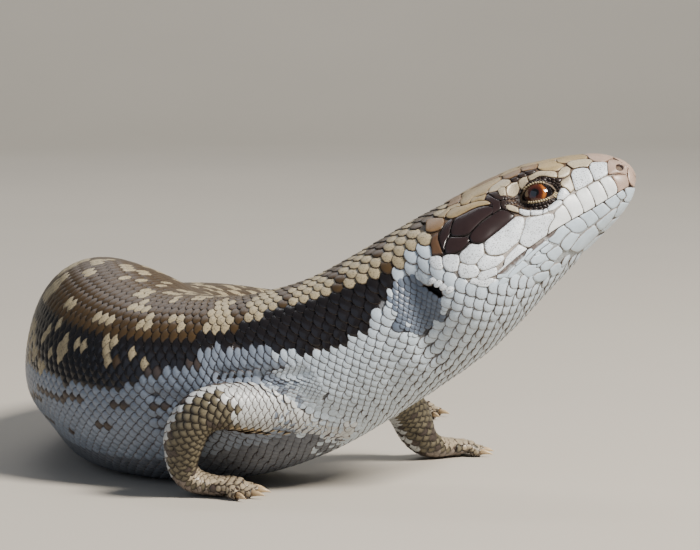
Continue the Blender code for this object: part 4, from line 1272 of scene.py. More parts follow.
    "below_eye_5": Drawn(Sort.CHEEK, 0.12, 0, ((519.5, 207), (525, 208.3), (529.7, 208.8), (530, 211.5),
        (530, 215.3), (525, 215.5), (519.5, 213), (519, 209.5))),
    "below_eye_6": Drawn(Sort.BROW, 0.1, 0, ((506, 204.5), (512, 204), (518.3, 206.5), (518.7, 209.5),
        (519.2, 212.8), (513, 211.3), (507.5, 209.5), (505.5, 207))),
    "brow_1": Drawn(Sort.BROW, 0.16, 0, ((558, 178), (558, 172), (562, 167), (567, 165.5), (571, 168),
        (570.5, 173), (569, 175), (564, 177.5))),
    "brow_2": Drawn(Sort.BROW, 0.2, 0, ((527, 176), (533, 172.8), (540, 170.3), (548, 170.5), (555, 170.5),
        (558, 172.5), (558, 177.5), (552, 177), (545, 175.8), (538, 175.5), (531, 178), (527.5, 178.8))),
    "brow_3": Drawn(Sort.BROW, 0.16, 0, ((518, 180), (522, 177), (526.5, 175.5), (527.3, 179),
        (523.5, 182.5), (519.5, 185.5), (517.5, 184))),
    "brow_4": Drawn(Sort.BROW, 0.14, 0, ((506.5, 186), (511, 182.5), (517.5, 180.5), (518.5, 184.5),
        (516, 189.5), (512.5, 193), (507.5, 194.5), (506, 190))),
    "brow_5": Drawn(Sort.BROW, 0.12, 0, ((500, 187), (505.5, 186.5), (506, 191), (506.5, 195), (500, 196),
        (497, 190))),
    "temple_1": Drawn(Sort.TEMPLE, 0.2, 0, ((455, 217.5), (463, 214), (471, 209.5), (480, 206), (488, 205),
        (495, 207), (496.5, 210), (489.5, 215), (482, 220.5), (475, 227.5), (468.5, 234.5), (460, 236),
        (450.3, 236), (450, 230), (452, 223))),
    "temple_2": Drawn(Sort.TEMPLE, 0.22, 0, ((469, 236), (473, 229.8), (481.5, 222), (489.5, 216.3),
        (496.5, 211.5), (502, 208.5), (508.5, 210), (516, 215.2), (511.5, 220.5), (502.5, 227.8),
        (494, 234.5), (485, 241.3), (477, 244), (469.5, 241.5))),
    "temple_3": Drawn(Sort.TEMPLE, 0.18, 0, ((450, 236.5), (457, 236.5), (465, 236.3), (469, 237.5),
        (469.5, 240), (468.5, 243), (464, 247.5), (459, 251), (452, 253.5), (445, 253.5), (444.5, 248),
        (446.5, 241))),
    "temple_4": Drawn(Sort.TEMPLE, 0.18, 0, ((443.5, 252), (441, 247), (438, 238), (441, 230), (444.5, 224),
        (448, 219.5), (453, 217.5), (452, 222.5), (450, 229), (449.5, 235.5), (446, 240), (444, 247))),
    "temple_fade": Drawn(Sort.TEMPLE_FADE, 0.14, 0, ((431, 255.5), (431, 250), (430, 243), (432, 236),
        (438, 231.5), (437.5, 238), (440.5, 247), (443, 254), (437, 255))),
    "crown_side_1": Drawn(Sort.CROWN, 0.14, 0, ((445, 214.5), (451, 207.5), (460, 206), (468, 203.5),
        (478, 200.5), (488, 200), (492, 203), (487, 204.5), (479, 205.5), (470, 209), (462, 213.5),
        (455, 217), (450, 218.3), (445, 217.5))),
    "crown_side_2": Drawn(Sort.CROWN_BROWN, 0.12, 0, ((426, 219), (433, 217.5), (440, 217), (444.5, 218),
        (444, 223), (441, 228.5), (436, 231), (430, 232), (425, 231))),
}
NOSTRIL_SPOT = np.array((2.47, 6.5))
NOSTRIL_SPREAD = np.array(((-0.20, 0.116), (-0.129, 0.365)))

# Seeds of the other shields on one side. A top seed is a station and a distance round from
# the crown, a lip seed a station and a distance above or below the mouth line, an under seed
# a station and a distance from the middle of the throat.
SEEDED_SHIELDS = (
    Shield(Sort.BROW, ((27.2, 8.9),)),
    Shield(Sort.LID, ((29.0, 15.0),)),
    Shield(Sort.LID, ((28.8, 13.2),)),
    Shield(Sort.TEMPLE, ((30.6, 14.2),)),
    Shield(Sort.CROWN, ((35.4, 13.2), (37.8, 13.2), (40.2, 13.2)), "top", 0.14),
    Shield(Sort.CHEEK, ((42.4, 31.2),)),
    Shield(Sort.SNOUT, ((-0.3, 0.0), (-0.3, 1.5), (-0.2, 3.2), (0.0, 5.0), (0.3, 6.6), (0.8, 8.2))),
    Shield(Sort.SNOUT, ((3.4, 0.0), (5.4, 0.0), (4.0, 2.2), (5.4, 2.8))),
    Shield(Sort.CROWN, ((9.0, 2.2), (10.9, 2.8))),
    Shield(Sort.CROWN, ((14.0, 0.0), (17.2, 0.0), (19.6, 0.0)), "top", 0.14),
    Shield(Sort.CROWN, ((15.8, 5.2), (16.2, 6.4))),
    Shield(Sort.CROWN_BROWN, ((19.8, 5.0), (20.0, 6.4))),
    Shield(Sort.CROWN_BROWN, ((23.6, 5.4), (24.0, 7.0))),
    Shield(Sort.CROWN, ((23.8, 2.0),)),
    Shield(Sort.CROWN_BROWN, ((28.0, 0.0), (30.4, 0.0))),
    Shield(Sort.CROWN, ((28.8, 5.2), (31.2, 5.6), (33.8, 5.4), (34.6, 3.4), (36.2, 7.4), (32.4, 8.0)),
           "top", 0.16),
    Shield(Sort.CROWN_BROWN, ((38.2, 2.6), (38.4, 5.0))),
    Shield(Sort.CROWN, ((40.4, 8.4),)),
    Shield(Sort.CHIN, ((32.2, -1.6),), "lip"),
    Shield(Sort.CHIN, ((36.4, -1.6),), "lip"),
    Shield(Sort.CHIN, ((40.6, -1.6),), "lip"),
    Shield(Sort.CHIN, ((28.2, -4.8),), "lip"),
    Shield(Sort.CHIN, ((32.0, -4.5),), "lip"),
    Shield(Sort.CHIN, ((1.9, 0.0), (2.1, 2.2), (2.6, 4.0)), "under"),
    Shield(Sort.CHIN, ((5.4, 0.0),), "under"),
    Shield(Sort.CHIN, ((9.0, 2.2), (10.4, 2.6)), "under"),
    Shield(Sort.CHIN, ((14.4, 2.6), (16.0, 2.8)), "under"),
    Shield(Sort.CHIN, ((6.4, 5.2),), "under"),
)
# Grains round the eye: distance from the opening, how many, sort.
LID_RINGS = ((0.30, 40, Sort.LID_RIM), (0.84, 34, Sort.LID), (1.42, 30, Sort.LID), (2.1, 26, Sort.LID),
             (2.9, 24, Sort.LID))


@dataclass
class Cell:
    """One shield's ground: its sort, its seeds on the unrolled head, and its options."""

    sort: Sort
    seeds: list
    dome: float
    nostril: bool = False
    lip: int = 0
    small: bool = False
    shape: np.ndarray = None


class PhotoView:
    """Finds places on the right side of the head from pixels on the photograph."""

    END, STEP, AROUND, NEAREST = 66, 0.1, 700, 6
    LIP_END, TO_MOUTH = 42, 0.75

    def __init__(self, plan: BodyPlan) -> None:
        """Note where the photograph's camera sees each place of the head.

        Args:
            plan: the body plan.
        """
        self.plan = plan
        studio = Studio()
        eye, ahead, up = studio.stance()
        rows = []
        for s in np.arange(-0.4, self.END, self.STEP):
            share = np.linspace(0.0, 1.0, self.AROUND)
            ring, normal = plan.chart.at(np.full(self.AROUND, s), share)
            seen = ((eye - ring) * normal).sum(1) > 0
            away = ring[seen] - eye
            scale = studio.focal_px / (away @ ahead)
            x = studio.width_px / 2 + scale * away[:, 0]
            y = studio.height_px / 2 - scale * (away @ up)
            rows.append(np.stack([x, y, np.full(seen.sum(), s), share[seen] * float(plan.chart.half(s))], -1))
        self.table = np.concatenate(rows)
        self.tree = KDTree(len(self.table))
        for number, (x, y, _, _) in enumerate(self.table):
            self.tree.insert((x, y, 0), number)
        self.tree.balance()

    def place(self, x: float, y: float) -> tuple[float, float]:
        """Station and distance round from the crown of what a pixel shows."""
        near = self.tree.find_n((x, y, 0), self.NEAREST)
        weights = np.array([1 / (gap + 0.05) for _, _, gap in near])
        places = np.array([self.table[number, 2:] for _, number, _ in near])
        return tuple((weights[:, None] * places).sum(0) / weights.sum())

    def outline(self, drawn: Drawn) -> np.ndarray:
        """Corners of a plate on the unrolled head, to a tenth of a millimetre.

        Args:
            drawn: the plate.

        Returns:
            Stations and distances round from the crown. A lip's corners close to the mouth line
            lie on it.
        """
        if drawn.edge_on:
            return np.array(drawn.corners)
        found = []
        for x, y in drawn.corners:
            s, arc = self.place(x, y)
            mouth = float(self.plan.mouth_at(s))
            if drawn.lip and s < self.LIP_END and abs(arc - mouth) < self.TO_MOUTH:
                arc = mouth
            spot = (round(s, 1), round(arc, 1))
            if not found or spot not in (found[0], found[-1]):
                found.append(spot)
        return np.array(found)


def mirrored(plan: BodyPlan) -> list[np.ndarray]:
    """Outlines of the drawn shields on the right side of the head, then on the left."""
    return [shape * (1, side) for side in (1, -1) for shape in plan.outlines]


TEMPLE_MARGIN = 0.8


def temple_outlines(plan: BodyPlan) -> list[np.ndarray]:
    """Outlines of the dark shields behind the eyes, widened by TEMPLE_MARGIN."""
    found = []
    for drawn, shape in zip(DRAWN_SHIELDS.values(), plan.outlines):
        if drawn.sort in (Sort.TEMPLE, Sort.TEMPLE_FADE):
            middle = shape.mean(axis=0)
            wide = middle + (shape - middle) * (1 + TEMPLE_MARGIN / np.hypot(*(shape - middle).T))[:, None]
            found += [wide, wide * (1, -1)]
    return found


def inside_any(spots: np.ndarray, shapes: list[np.ndarray]) -> np.ndarray:
    """Which places lie inside at least one outline."""
    found = np.zeros(len(spots), bool)
    x, y = spots[:, 0], spots[:, 1]
    for shape in shapes:
        odd = np.zeros(len(spots), bool)
        for (x1, y1), (x2, y2) in zip(shape, np.roll(shape, -1, 0)):
            if y1 != y2:
                odd ^= ((y1 > y) != (y2 > y)) & (x < (x2 - x1) * (y - y1) / (y2 - y1) + x1)
        found |= odd
    return found


class HeadShields:
    """The plates of the head: drawn by their corners, or cut where neighbouring seeds meet."""

    OUTLINE, SMALL_OUTLINE = 44, 12
    GROOVE = 0.03
    REACH = 15.0

    def __init__(self, plan: BodyPlan, surface: HeadSurface, ghosts: np.ndarray) -> None:
        """Gather the drawn outlines and the seeds.

        Args:
            plan: the body plan.
            surface: the head's surface with lids.
            ghosts: stations and arcs of the first scales behind the shields.
        """
        self.plan, self.surface, self.ghosts = plan, surface, ghosts
        self.cells: list[Cell] = []
        self.drawn = mirrored(plan)
        for (name, drawn), shape in zip(list(DRAWN_SHIELDS.items()) * 2, self.drawn):
            self.cells.append(Cell(drawn.sort, [], drawn.dome, name == "nasal", drawn.lip, False, shape))
        for shield in SEEDED_SHIELDS:
            self.add(shield)
        self.add_lids()
        for cell in self.cells:
            if cell.seeds:
                cell.seeds = [spot for spot in cell.seeds if not inside_any(np.array([spot]), self.drawn)[0]]

    def arc_of(self, place: str, s: float, value: float) -> float:
        """Distance round from the crown of a seed."""
        if place == "lip":
            return float(self.plan.mouth_at(s)) - value
        if place == "under":
            return float(self.plan.chart.half(s)) - value
        return value

    def add(self, shield: Shield) -> None:
        """Add a shield on both sides, or once where it lies on the middle line."""
        spots = [(s, self.arc_of(shield.place, s, v)) for s, v in shield.seeds]
        middle = shield.place in ("top", "under") and shield.seeds[0][1] == 0.0
        if middle and shield.place == "top":
            spots += [(s, -a) for s, a in spots if a != 0]
        if middle and shield.place == "under":
            pairs = zip(spots, shield.seeds)
            spots += [(s, 2 * float(self.plan.chart.half(s)) - a) for (s, a), (_, v) in pairs if v]
        lip = 0
        if shield.place == "lip":
            lip = 1 if shield.seeds[0][1] > 0 else -1
        for side in ((1,) if middle else (1, -1)):
            cell = [(s, side * a) for s, a in spots]
            self.cells.append(Cell(shield.sort, cell, shield.dome, False, lip))

    def add_lids(self) -> None:
        """Rings of small grains over the lids."""
        for side, orbit in ((1, self.surface.orbits[0]), (-1, self.surface.orbits[1])):
            for ring, count, sort in LID_RINGS:
                for k in range(count):
                    turn = 2 * math.pi * (k + 0.5 * (ring > 0.5)) / count
                    spot = self.orbit_spot(orbit, side, ring, turn)
                    self.cells.append(Cell(sort, [spot], 0.06, small=True))

    def orbit_spot(self, orbit: Orbit, side: int, ring: float, turn: float) -> tuple[float, float]:
        """Station and arc of a place round the eye.

        Args:
            orbit: the eye.
            side: 1 on the right, -1 on the left.
            ring: distance outside the opening.
            turn: direction from the opening's middle.

        Returns:
            The place on the unrolled head.
        """
        x, y = (EYE_OPENING[0] + ring) * math.cos(turn), (EYE_OPENING[1] + ring) * math.sin(turn)
        point, along, _, up = self.plan.frame_at(EYE_STATION)
        spot = orbit.centre + orbit.axes[2] * EYE_RADIUS + orbit.axes[0] * x + orbit.axes[1] * y
        s = EYE_STATION + float((spot - point) @ along)
        arc = self.plan.arc_at_height(s, float((spot - point) @ up))
        for _ in range(5):
            share = side * arc / float(self.plan.chart.half(s))
            at, _ = self.plan.chart.at(np.array([s]), np.array([share]))
            miss = orbit.centre + orbit.axes[0] * x + orbit.axes[1] * y - at[0]
            miss = miss - (miss @ orbit.axes[2]) * orbit.axes[2]
            s += 0.8 * float(miss @ along)
            arc -= 0.8 * float(miss @ unit(up - (up @ orbit.axes[2]) * orbit.axes[2]))
        return s, side * arc

    def clip(self, polygon: list, owner: int, seed: np.ndarray, other: np.ndarray) -> list:
        """Cut a polygon at the line halfway to another seed.

        Args:
            polygon: corners with the owner of the edge that leaves each.
            owner: number of the other seed's shield.
            seed: the seed whose ground this is.
            other: the neighbouring seed.

        Returns:
            The polygon that is left.
        """
        way = other - seed
        limit = (other @ other - seed @ seed) / 2
        kept = []
        for k, (corner, edge) in enumerate(polygon):
            after = polygon[(k + 1) % len(polygon)][0]
            a, b = corner @ way - limit, after @ way - limit
            if a <= 0:
                kept.append((corner, edge))
            if (a <= 0) != (b <= 0):
                cross = corner + (after - corner) * (a / (a - b))
                kept.append((cross, owner if a <= 0 else edge))
        return kept

    def border_spots(self) -> tuple[np.ndarray, np.ndarray]:
        """Places just inside and just outside the outlines of the drawn shields."""
        inner, outer = [], []
        for shape in self.drawn:
            after = np.roll(shape, -1, 0)
            area = np.sum(shape[:, 0] * after[:, 1] - after[:, 0] * shape[:, 1])
            for a, b in zip(shape, after):
                length = float(np.hypot(*(b - a)))
                if length < 0.05:
                    continue
                count = max(1, round(length / 0.45))
                inward = np.array((-(b - a)[1], (b - a)[0])) / length * np.sign(area)
                for k in range(count):
                    spot = a + (b - a) * (k + 0.5) / count
                    inner.append(spot + 0.22 * inward)
                    outer.append(spot - 0.22 * inward)
        outer = np.array(outer)
        return np.array(inner), outer[~inside_any(outer, self.drawn)]

    def grounds(self) -> list[np.ndarray]:
        """Outline of every shield on the unrolled head, as stations and arcs."""
        seeds, owners = [], []
        for number, cell in enumerate(self.cells):
            for s, a in cell.seeds:
                seeds.append((s, a))
                owners.append(number)
        inner, outer = self.border_spots()
        known = np.array(seeds)
        behind = np.array(self.ghosts)
        claims = []
        for spot in outer:
            gap = np.hypot(*(known - spot).T)
            k = int(np.argmin(gap))
            small = self.cells[owners[k]].small
            if gap[k] < (1.2 if small else 3.4) and gap[k] < np.hypot(*(behind - spot).T).min():
                claims.append((spot, owners[k]))
        for spot, owner in claims:
            seeds.append(tuple(spot))
            owners.append(owner)
        real = len(seeds)
        extra = [tuple(g) for g in self.ghosts] + [tuple(spot) for spot in inner]
        for s, a in seeds[:real] + extra:
            half = float(self.plan.chart.half(s))
            if abs(a) > half - 9:
                extra.append((s, math.copysign(2 * half - abs(a), -a)))
        for side, orbit in ((1, self.surface.orbits[0]), (-1, self.surface.orbits[1])):
            for turn in np.linspace(0, 2 * math.pi, 40, endpoint=False):
                extra.append(self.orbit_spot(orbit, side, -0.25, turn))
        spots = np.array(seeds + extra)
        owners += [-2 - k for k in range(len(extra))]
        outlines: list[list] = [[] for _ in self.cells]
        for i in range(real):
            seed = spots[i]
            gap = np.hypot(*(spots - seed).T)
            box = self.REACH / 2
            corners = [(-box, -box), (box, -box), (box, box), (-box, box)]
            polygon = [(seed + np.array(c), -1) for c in corners]
            far = 2 * self.REACH
            for k in np.argsort(gap):
                if gap[k] > far or not polygon:
                    break
                if gap[k] > 1e-6:
                    polygon = self.clip(polygon, int(owners[k]), seed, spots[k])
                    far = 2 * max((float(np.hypot(*(corner - seed))) for corner, _ in polygon), default=0)
            for k, (corner, edge) in enumerate(polygon):
                if edge != owners[i]:
                    outlines[owners[i]].append((corner, polygon[(k + 1) % len(polygon)][0]))
        joined = [self.chain(edges) for edges in outlines]
        return [outline if cell.shape is None else cell.shape for cell, outline in zip(self.cells, joined)]

    def chain(self, edges: list) -> np.ndarray:
        """Join loose edges end to end, and keep the largest outline."""
        left, best, size = list(edges), np.zeros((0, 2)), 0.3
        while left:
            start, end = left.pop(0)
            loop = [start]
            while left:
                gaps = [float(np.hypot(*(edge[0] - end))) for edge in left]
                k = int(np.argmin(gaps))
                if gaps[k] > 0.02:
                    break
                begin, end = left.pop(k)
                loop.append(begin)
            loop.append(end)
            ring = np.array(loop)
            x, y = ring.T
            area = abs(0.5 * np.sum(x * np.roll(y, -1) - np.roll(x, -1) * y))
            if area > size:
                best, size = ring[:-1] if np.hypot(*(ring[0] - ring[-1])) < 0.02 else ring, area
        return best

    def outline(self, cell: Cell, corners: np.ndarray) -> np.ndarray:
        """Even, rounded points round a shield, set back by half a groove."""
        count = self.SMALL_OUTLINE if cell.small else self.OUTLINE
        closed = np.vstack([corners, corners[:1]])
        run = np.concatenate([[0], np.cumsum(np.hypot(*np.diff(closed, axis=0).T))])
        even = np.linspace(0, run[-1], count, endpoint=False)
        loop = np.stack([np.interp(even, run, closed[:, k]) for k in range(2)], -1)
        if cell.lip:
            mouth = self.plan.mouth_at(loop[:, 0])
            arcs = np.abs(loop[:, 1])
            sign = np.sign(loop[:, 1]) if abs(loop[:, 1].mean()) > 2 else np.ones(count)
            inside = loop[:, 0] < MOUTH_END
            if cell.lip > 0:
                arcs = np.where(inside, np.minimum(arcs, mouth - 0.02), arcs)
            else:
                arcs = np.where(inside, np.maximum(arcs, mouth + 0.06), arcs)
            loop[:, 1] = sign * arcs
        for _ in range(2 if cell.shape is None and not cell.small else 1):
            loop = 0.25 * np.roll(loop, 1, 0) + 0.5 * loop + 0.25 * np.roll(loop, -1, 0)
        loop[:, 0] = np.maximum(loop[:, 0], -0.5)
        tangent = np.roll(loop, -1, 0) - np.roll(loop, 1, 0)
        area = 0.5 * np.sum(loop[:, 0] * np.roll(loop[:, 1], -1) - np.roll(loop[:, 0], -1) * loop[:, 1])
        inward = unit(np.stack([-tangent[:, 1], tangent[:, 0]], -1)) * np.sign(area)
        groove = self.GROOVE * (0.6 if cell.small else 1.0)
        loop = loop + inward * groove
        return loop if area > 0 else loop[::-1]

    def rings_of(self, cell: Cell) -> tuple:
        """Size, height and rim value of each ring of a shield, from its middle outward."""
        if cell.nostril:
            return ((0.0, -1.9, -1), (0.24, -1.6, -1), (0.30, -0.4, -1), (0.35, 0.16, -1), (0.45, 0.24, 0.2),
                    (0.58, 0.12, 0.3), (0.92, 0.0, 0.6), (1.0, -0.12, 1.0), (0.99, -0.62, 1.0))
        if cell.small:
            return ((0.0, cell.dome, 0.0), (0.55, cell.dome * 0.7, 0.5), (0.9, -0.05, 0.9), (1.0, -0.18, 1.0),
                    (1.0, -0.55, 1.0))
        d = cell.dome
        return ((0.0, d, 0.0), (0.40, d * 0.86, 0.34), (0.74, d * 0.56, 0.64), (0.93, d * 0.2, 0.88),
                (1.0, -0.07, 1.0), (1.0, -0.55, 1.0))

    def nostril_ring(self, loop: np.ndarray, size: float) -> np.ndarray:
        """A round ring about the nostril, seen from the side, with a point for each point of the loop."""
        side = np.sign(loop[:, 1].mean())
        away = (loop - NOSTRIL_SPOT * (1, side)) * (1, side)
        heading = unit(away @ np.linalg.inv(NOSTRIL_SPREAD).T)
        return NOSTRIL_SPOT * (1, side) + (heading * 10 * size) @ NOSTRIL_SPREAD.T * (1, side)

    def build(self, material: bpy.types.Material) -> bpy.types.Object:
        """Make all the shields as one piece."""
        points, places, quads, tris, closing = [], [], [], [], {}
        tint, edge, rim, gloss = [], [], [], []
        start = 0
        for cell, corners in zip(self.cells, self.grounds()):
            if len(corners) < 3:
                continue
            loop = self.outline(cell, corners)
            middle = loop.mean(axis=0)
            if cell.nostril:
                middle = NOSTRIL_SPOT * (1, np.sign(middle[1]))
            rings = self.rings_of(cell)
            n = len(loop)
            flat, heights, rims = [middle[None]], [rings[0][1]], [rings[0][2]]
            for size, height, at in rings[1:]:
                if cell.nostril and size < 0.7:
                    flat.append(self.nostril_ring(loop, size))
                else:
                    flat.append(middle + (loop - middle) * size)
                heights += [height] * n
                rims += [at] * n
            flat, heights, rims = np.concatenate(flat), np.array(heights), np.array(rims)
            half = self.plan.chart.half(flat[:, 0])
            share = flat[:, 1] / half
            spots, normals = self.surface.at(flat[:, 0], share)
            recess = -0.10 - (0.22 if cell.lip < 0 else 0.0)
            spots = spots + normals * (heights + recess)[:, None]
            index = SORT_INDEX[cell.sort]
            shade = 1 + 0.07 * (RNG.random() - 0.5)
            middle_tint = np.tile(np.append(MIDDLES[index] * shade, TRAITS[index, 0]), (len(flat), 1))
            # painted shade: the inside of the nostril is coloured dark brown
            if cell.nostril:
                middle_tint[rims < 0, :3] = linear("#3A2C28")[:3]
            points.append(spots)
            places.append(np.stack([(flat[:, 0] + 1.5) / 56, np.clip((share + 1) / 2, 0, 1)], -1))
            tint.append(middle_tint)
            edge.append(np.tile(np.append(EDGES[index], TRAITS[index, 1]), (len(flat), 1)))
            rim.append(np.maximum(rims, 0))
            gloss.append(np.full(len(flat), TRAITS[index, 2]))
            ring = [start + 1 + k * n + np.arange(n) for k in range(len(rings) - 1)]
            tris.append(np.stack([np.full(n, start), ring[0], np.roll(ring[0], -1)], 1))
            for a, b in zip(ring[:-1], ring[1:]):
                quads.append(np.stack([a, b, np.roll(b, -1), np.roll(a, -1)], 1))
            closing.setdefault(n, []).append(ring[-1][::-1])
            start += len(flat)
        faces = [np.concatenate(tris), np.concatenate(quads)] + [np.array(v) for v in closing.values()]
        item = new_object("head_shields", np.concatenate(points), faces)
        for (name, kind), values in zip(SCALE_LAYERS, (tint, edge, rim, gloss)):
            paint(item, name, kind, np.concatenate(values))
        bake_map(item, np.concatenate(places))
        turn_outward(item)
        finish_piece(item, material)
        LOG.info("head_shields: %d shields, %d triangles", len(self.cells), triangles(item))
        return item


@dataclass
class Zone:
    """A patch of body with finer scales: its middle, its reach, and how much finer."""

    station: float
    turn: float
    reach: float
    spread: float
    rows: float
    pitch: float
    fade: float = 0.0
    below_stripe: bool = False

    def holds(self, s: np.ndarray, turn: np.ndarray) -> np.ndarray:
        """Which places lie in the patch."""
        if self.below_stripe:
            return (np.abs(s - self.station) < self.reach) & (np.abs(turn) > Curve(STRIPE_FOOT)(s) - 1)
        spot = ((s - self.station) / self.reach) ** 4 + ((np.abs(turn) - self.turn) / self.spread) ** 4
        return spot < 1

    def pitch_at(self, s: float) -> float:
        """How much finer the scales are at a station."""
        if not self.fade:
            return self.pitch
        inner = ease(np.float64(self.reach - abs(s - self.station)), 0, self.fade)
        return float(self.pitch + (0.97 - self.pitch) * (1 - inner))


NECK_SIDE = Zone(86.0, 130.0, 26.0, 50.0, 1.0, 0.69, 13.0, True)
EAR_POCKET = Zone(57.4, 80.0, 5.0, 21.0, 2.0, 0.44)
ARMPIT = Zone(86.5, 99.0, 5.5, 15.0, 2.0, 0.5)
GROIN = Zone(270.0, 96.0, 9.0, 24.0, 2.0, 0.5)
BROAD = Zone(0.0, 0.0, 1e6, 1e6, 1.0, 1.0)


class BodyScales:
    """All the scales of the body, the legs and the toes."""

    def __init__(self, plan: BodyPlan, limbs: list[Limb], marks: Markings, skin_tree: BVHTree) -> None:
        """Take what the scales lie on."""
        self.plan, self.limbs, self.marks, self.skin_tree = plan, limbs, marks, skin_tree
        share = np.linspace(0, 1, 401)
        thick = np.cumsum(1 / Curve(ROW_WIDTHS)(share))
        self.row_share, self.row_count = share, (thick - thick[0]) / (thick[-1] - thick[0])

    def lattice(self, zone: Zone) -> tuple[np.ndarray, ...]:
        """Stations, shares, row widths and pitches of staggered rows in a zone."""
        pitch, rows = Curve(PITCH), Curve(ROWS)
        found = []
        s, k = 19.0, 0
        while s < 449.5:
            step = float(pitch(s)) * zone.pitch_at(s)
            if abs(s - zone.station) < zone.reach + 1:
                count = 2 * round(float(rows(s)) * zone.rows / 2)
                m = np.arange(-count // 2, count // 2)
                m = m[(m + k) % 2 == 0]
                part = (m + 0.5) / (count / 2)
                share = np.sign(part) * np.interp(np.abs(part), self.row_count, self.row_share)
                gap = np.interp(np.abs(part) + 1 / count, self.row_count, self.row_share)
                gap = gap - np.interp(np.abs(part) - 1 / count, self.row_count, self.row_share)
                half = float(self.plan.chart.half(s))
                width = np.maximum(gap * half, 0.6 * half * 2 / count)
                jitter = 0.05 * step * (chance(m, np.full(len(m), k), 3.0) - 0.5)
                found.append(np.stack([s + jitter, share, width, np.full(len(m), step)]))
            s += step / 2
            k += 1
        return tuple(np.concatenate(found, axis=1))

    def body_batch(self) -> Batch:
        """Every scale of the neck, trunk and tail."""
        chart = self.plan.chart
        zones = (EAR_POCKET, ARMPIT, GROIN, NECK_SIDE, BROAD)
        parts = []
        for order, zone in enumerate(zones):
            s, share, width, pitch = self.lattice(zone)
            turn = chart.pick(chart.turn, s, share)
            keep = zone.holds(s, turn)
            for finer in zones[:order]:
                keep &= ~finer.holds(s, turn)
            keep &= s > Curve(SHIELDS_END)(np.abs(share))
            places = np.stack([s, share * chart.half(s)], -1)
            keep &= ~inside_any(places, mirrored(self.plan))
            parts.append(np.stack([s, share, width, pitch])[:, keep])
        s, share, width, pitch = np.concatenate(parts, axis=1)
        spots, normals = chart.at(s, share)
        keep = ~self.plan.in_ear(spots)
        for limb in self.limbs:
            keep &= limb.inside(spots) > 0.93
        s, share, width, pitch, spots = s[keep], share[keep], width[keep], pitch[keep], spots[keep]
        real = np.maximum(pitch * chart.pick(chart.stretch, s, share), 0.8)
        least = 0.96 * (width / 2 + real ** 2 / (8 * width))
        broad = np.maximum(least, width * Curve(ROW_SHAPES, 1)(np.abs(share)))
        turn = chart.pick(chart.turn, s, share)
        sorts = self.marks.body(s, turn, RNG.random(len(s)))
        batch = Batch(chart, s, share, 0.63 * real, broad, sorts)
        batch.square = Curve(ROW_SHAPES, 2)(np.abs(share)) + 0.3 * (RNG.random(len(s)) - 0.5)
        batch.shift = self.settle(spots, chart.at(s, share)[1])
        return batch

    def settle(self, spots: np.ndarray, normals: np.ndarray) -> np.ndarray:
        """How far each scale moves to lie on the finished skin."""
        shift = np.zeros_like(spots)
        for k in range(len(spots)):
            base = spots[k] - SKIN_DEPTH * normals[k]
            hit = self.skin_tree.find_nearest(Vector(base))
            if hit[0] is not None:
                move = np.array(hit[0]) - base
                size = np.linalg.norm(move)
                shift[k] = move * min(1.0, 3.0 / max(size, 1e-6))
        return shift

    def limb_batch(self, limb: Limb) -> Batch:
        """The scales of one leg down to the roots of its toes."""
        found = []
        s, k = 1.0, 0
        while s < limb.run[-1] - 0.6:
            step = 1.62
            round_mm = 2 * float(limb.chart.half(s))
            count = 2 * round(round_mm / 1.6 / 2)
            m = np.arange(-count // 2, count // 2)
            m = m[(m + k) % 2 == 0]
            share = (m + 0.5) / (count / 2)
            found.append(np.stack([np.full(len(m), s), share, np.full(len(m), round_mm / count),
                                   np.full(len(m), step)]))
            s += step / 2
            k += 1
        s, share, width, pitch = np.concatenate(found, axis=1)
        spots, normals = limb.chart.at(s, share)
        keep = self.plan.depth(spots) > 0.985
        s, share, width, pitch = s[keep], share[keep], width[keep], pitch[keep]
        spots, normals = spots[keep], normals[keep]
        real = pitch * np.clip(limb.chart.pick(limb.chart.stretch, s, share), 0.5, 1.4)
        broad = 0.95 * width
        sorts = self.marks.leg(limb, s, share, RNG.random(len(s)))
        batch = Batch(limb.chart, s, share, 0.68 * real, 1.03 * broad, sorts, uv_box=(0, 1, 0, 0.66))
        batch.shift = self.settle(spots, normals)
        return batch

    def toe_batch(self, chart: Chart, number: int) -> Batch:
        """Scutes across the top and below a toe, and small scales on its sides."""
        rows = []
        length = chart.stations[-1]
        s = 1.2
        while s < length - 0.2:
            rows += [(s, 0.0, 0.95, 1.75), (s, 1.0, 0.95, 1.6)]
            rows += [(s + 0.7, side, 0.8, 0.85) for side in (0.5, -0.5)]
            s += 1.4
        s, share, along, across = np.array(rows).T
        keep = s < length + 0.1
        s, share, along, across = s[keep], share[keep], along[keep], across[keep]
        sorts = np.where(np.abs(share) > 0.9, SORT_INDEX[Sort.SOLE], SORT_INDEX[Sort.SCUTE])
        low, high = 0.70 + 0.06 * number, 0.74 + 0.06 * number
        return Batch(chart, s, share, along, across, sorts, lift=np.full(len(s), 0.05),
                     uv_box=(0, 1, low, high))

    def ear_batch(self) -> Batch:
        """Lobules along the front edge of each ear."""
        plan = self.plan
        lean = math.radians(EAR_LEAN)
        s, share = [], []
        for side in (1, -1):
            for along in (-2.1, -0.7, 0.7, 2.1):
                spot = EAR_STATION + along * math.sin(lean) - 1.45 * math.cos(lean)
                height = EAR_HEIGHT + along * math.cos(lean) + 1.45 * math.sin(lean)
                s.append(spot)
                share.append(side * plan.arc_at_height(spot, height) / float(plan.chart.half(spot)))
        s, share = np.array(s), np.array(share)
        count = len(s)
        sorts = np.full(count, SORT_INDEX[Sort.CHEEK])
        return Batch(plan.chart, s, share, np.full(count, 1.1), np.full(count, 0.72), sorts,
                     lift=np.full(count, 0.18))


COAT_LENGTHS = (("neck", 0, 84), ("chest", 84, 116), ("shoulder_trunk", 116, 150), ("trunk_middle", 150, 184),
                ("trunk_rear", 184, 246), ("hips", 246, 296), ("tail", 296, 460))


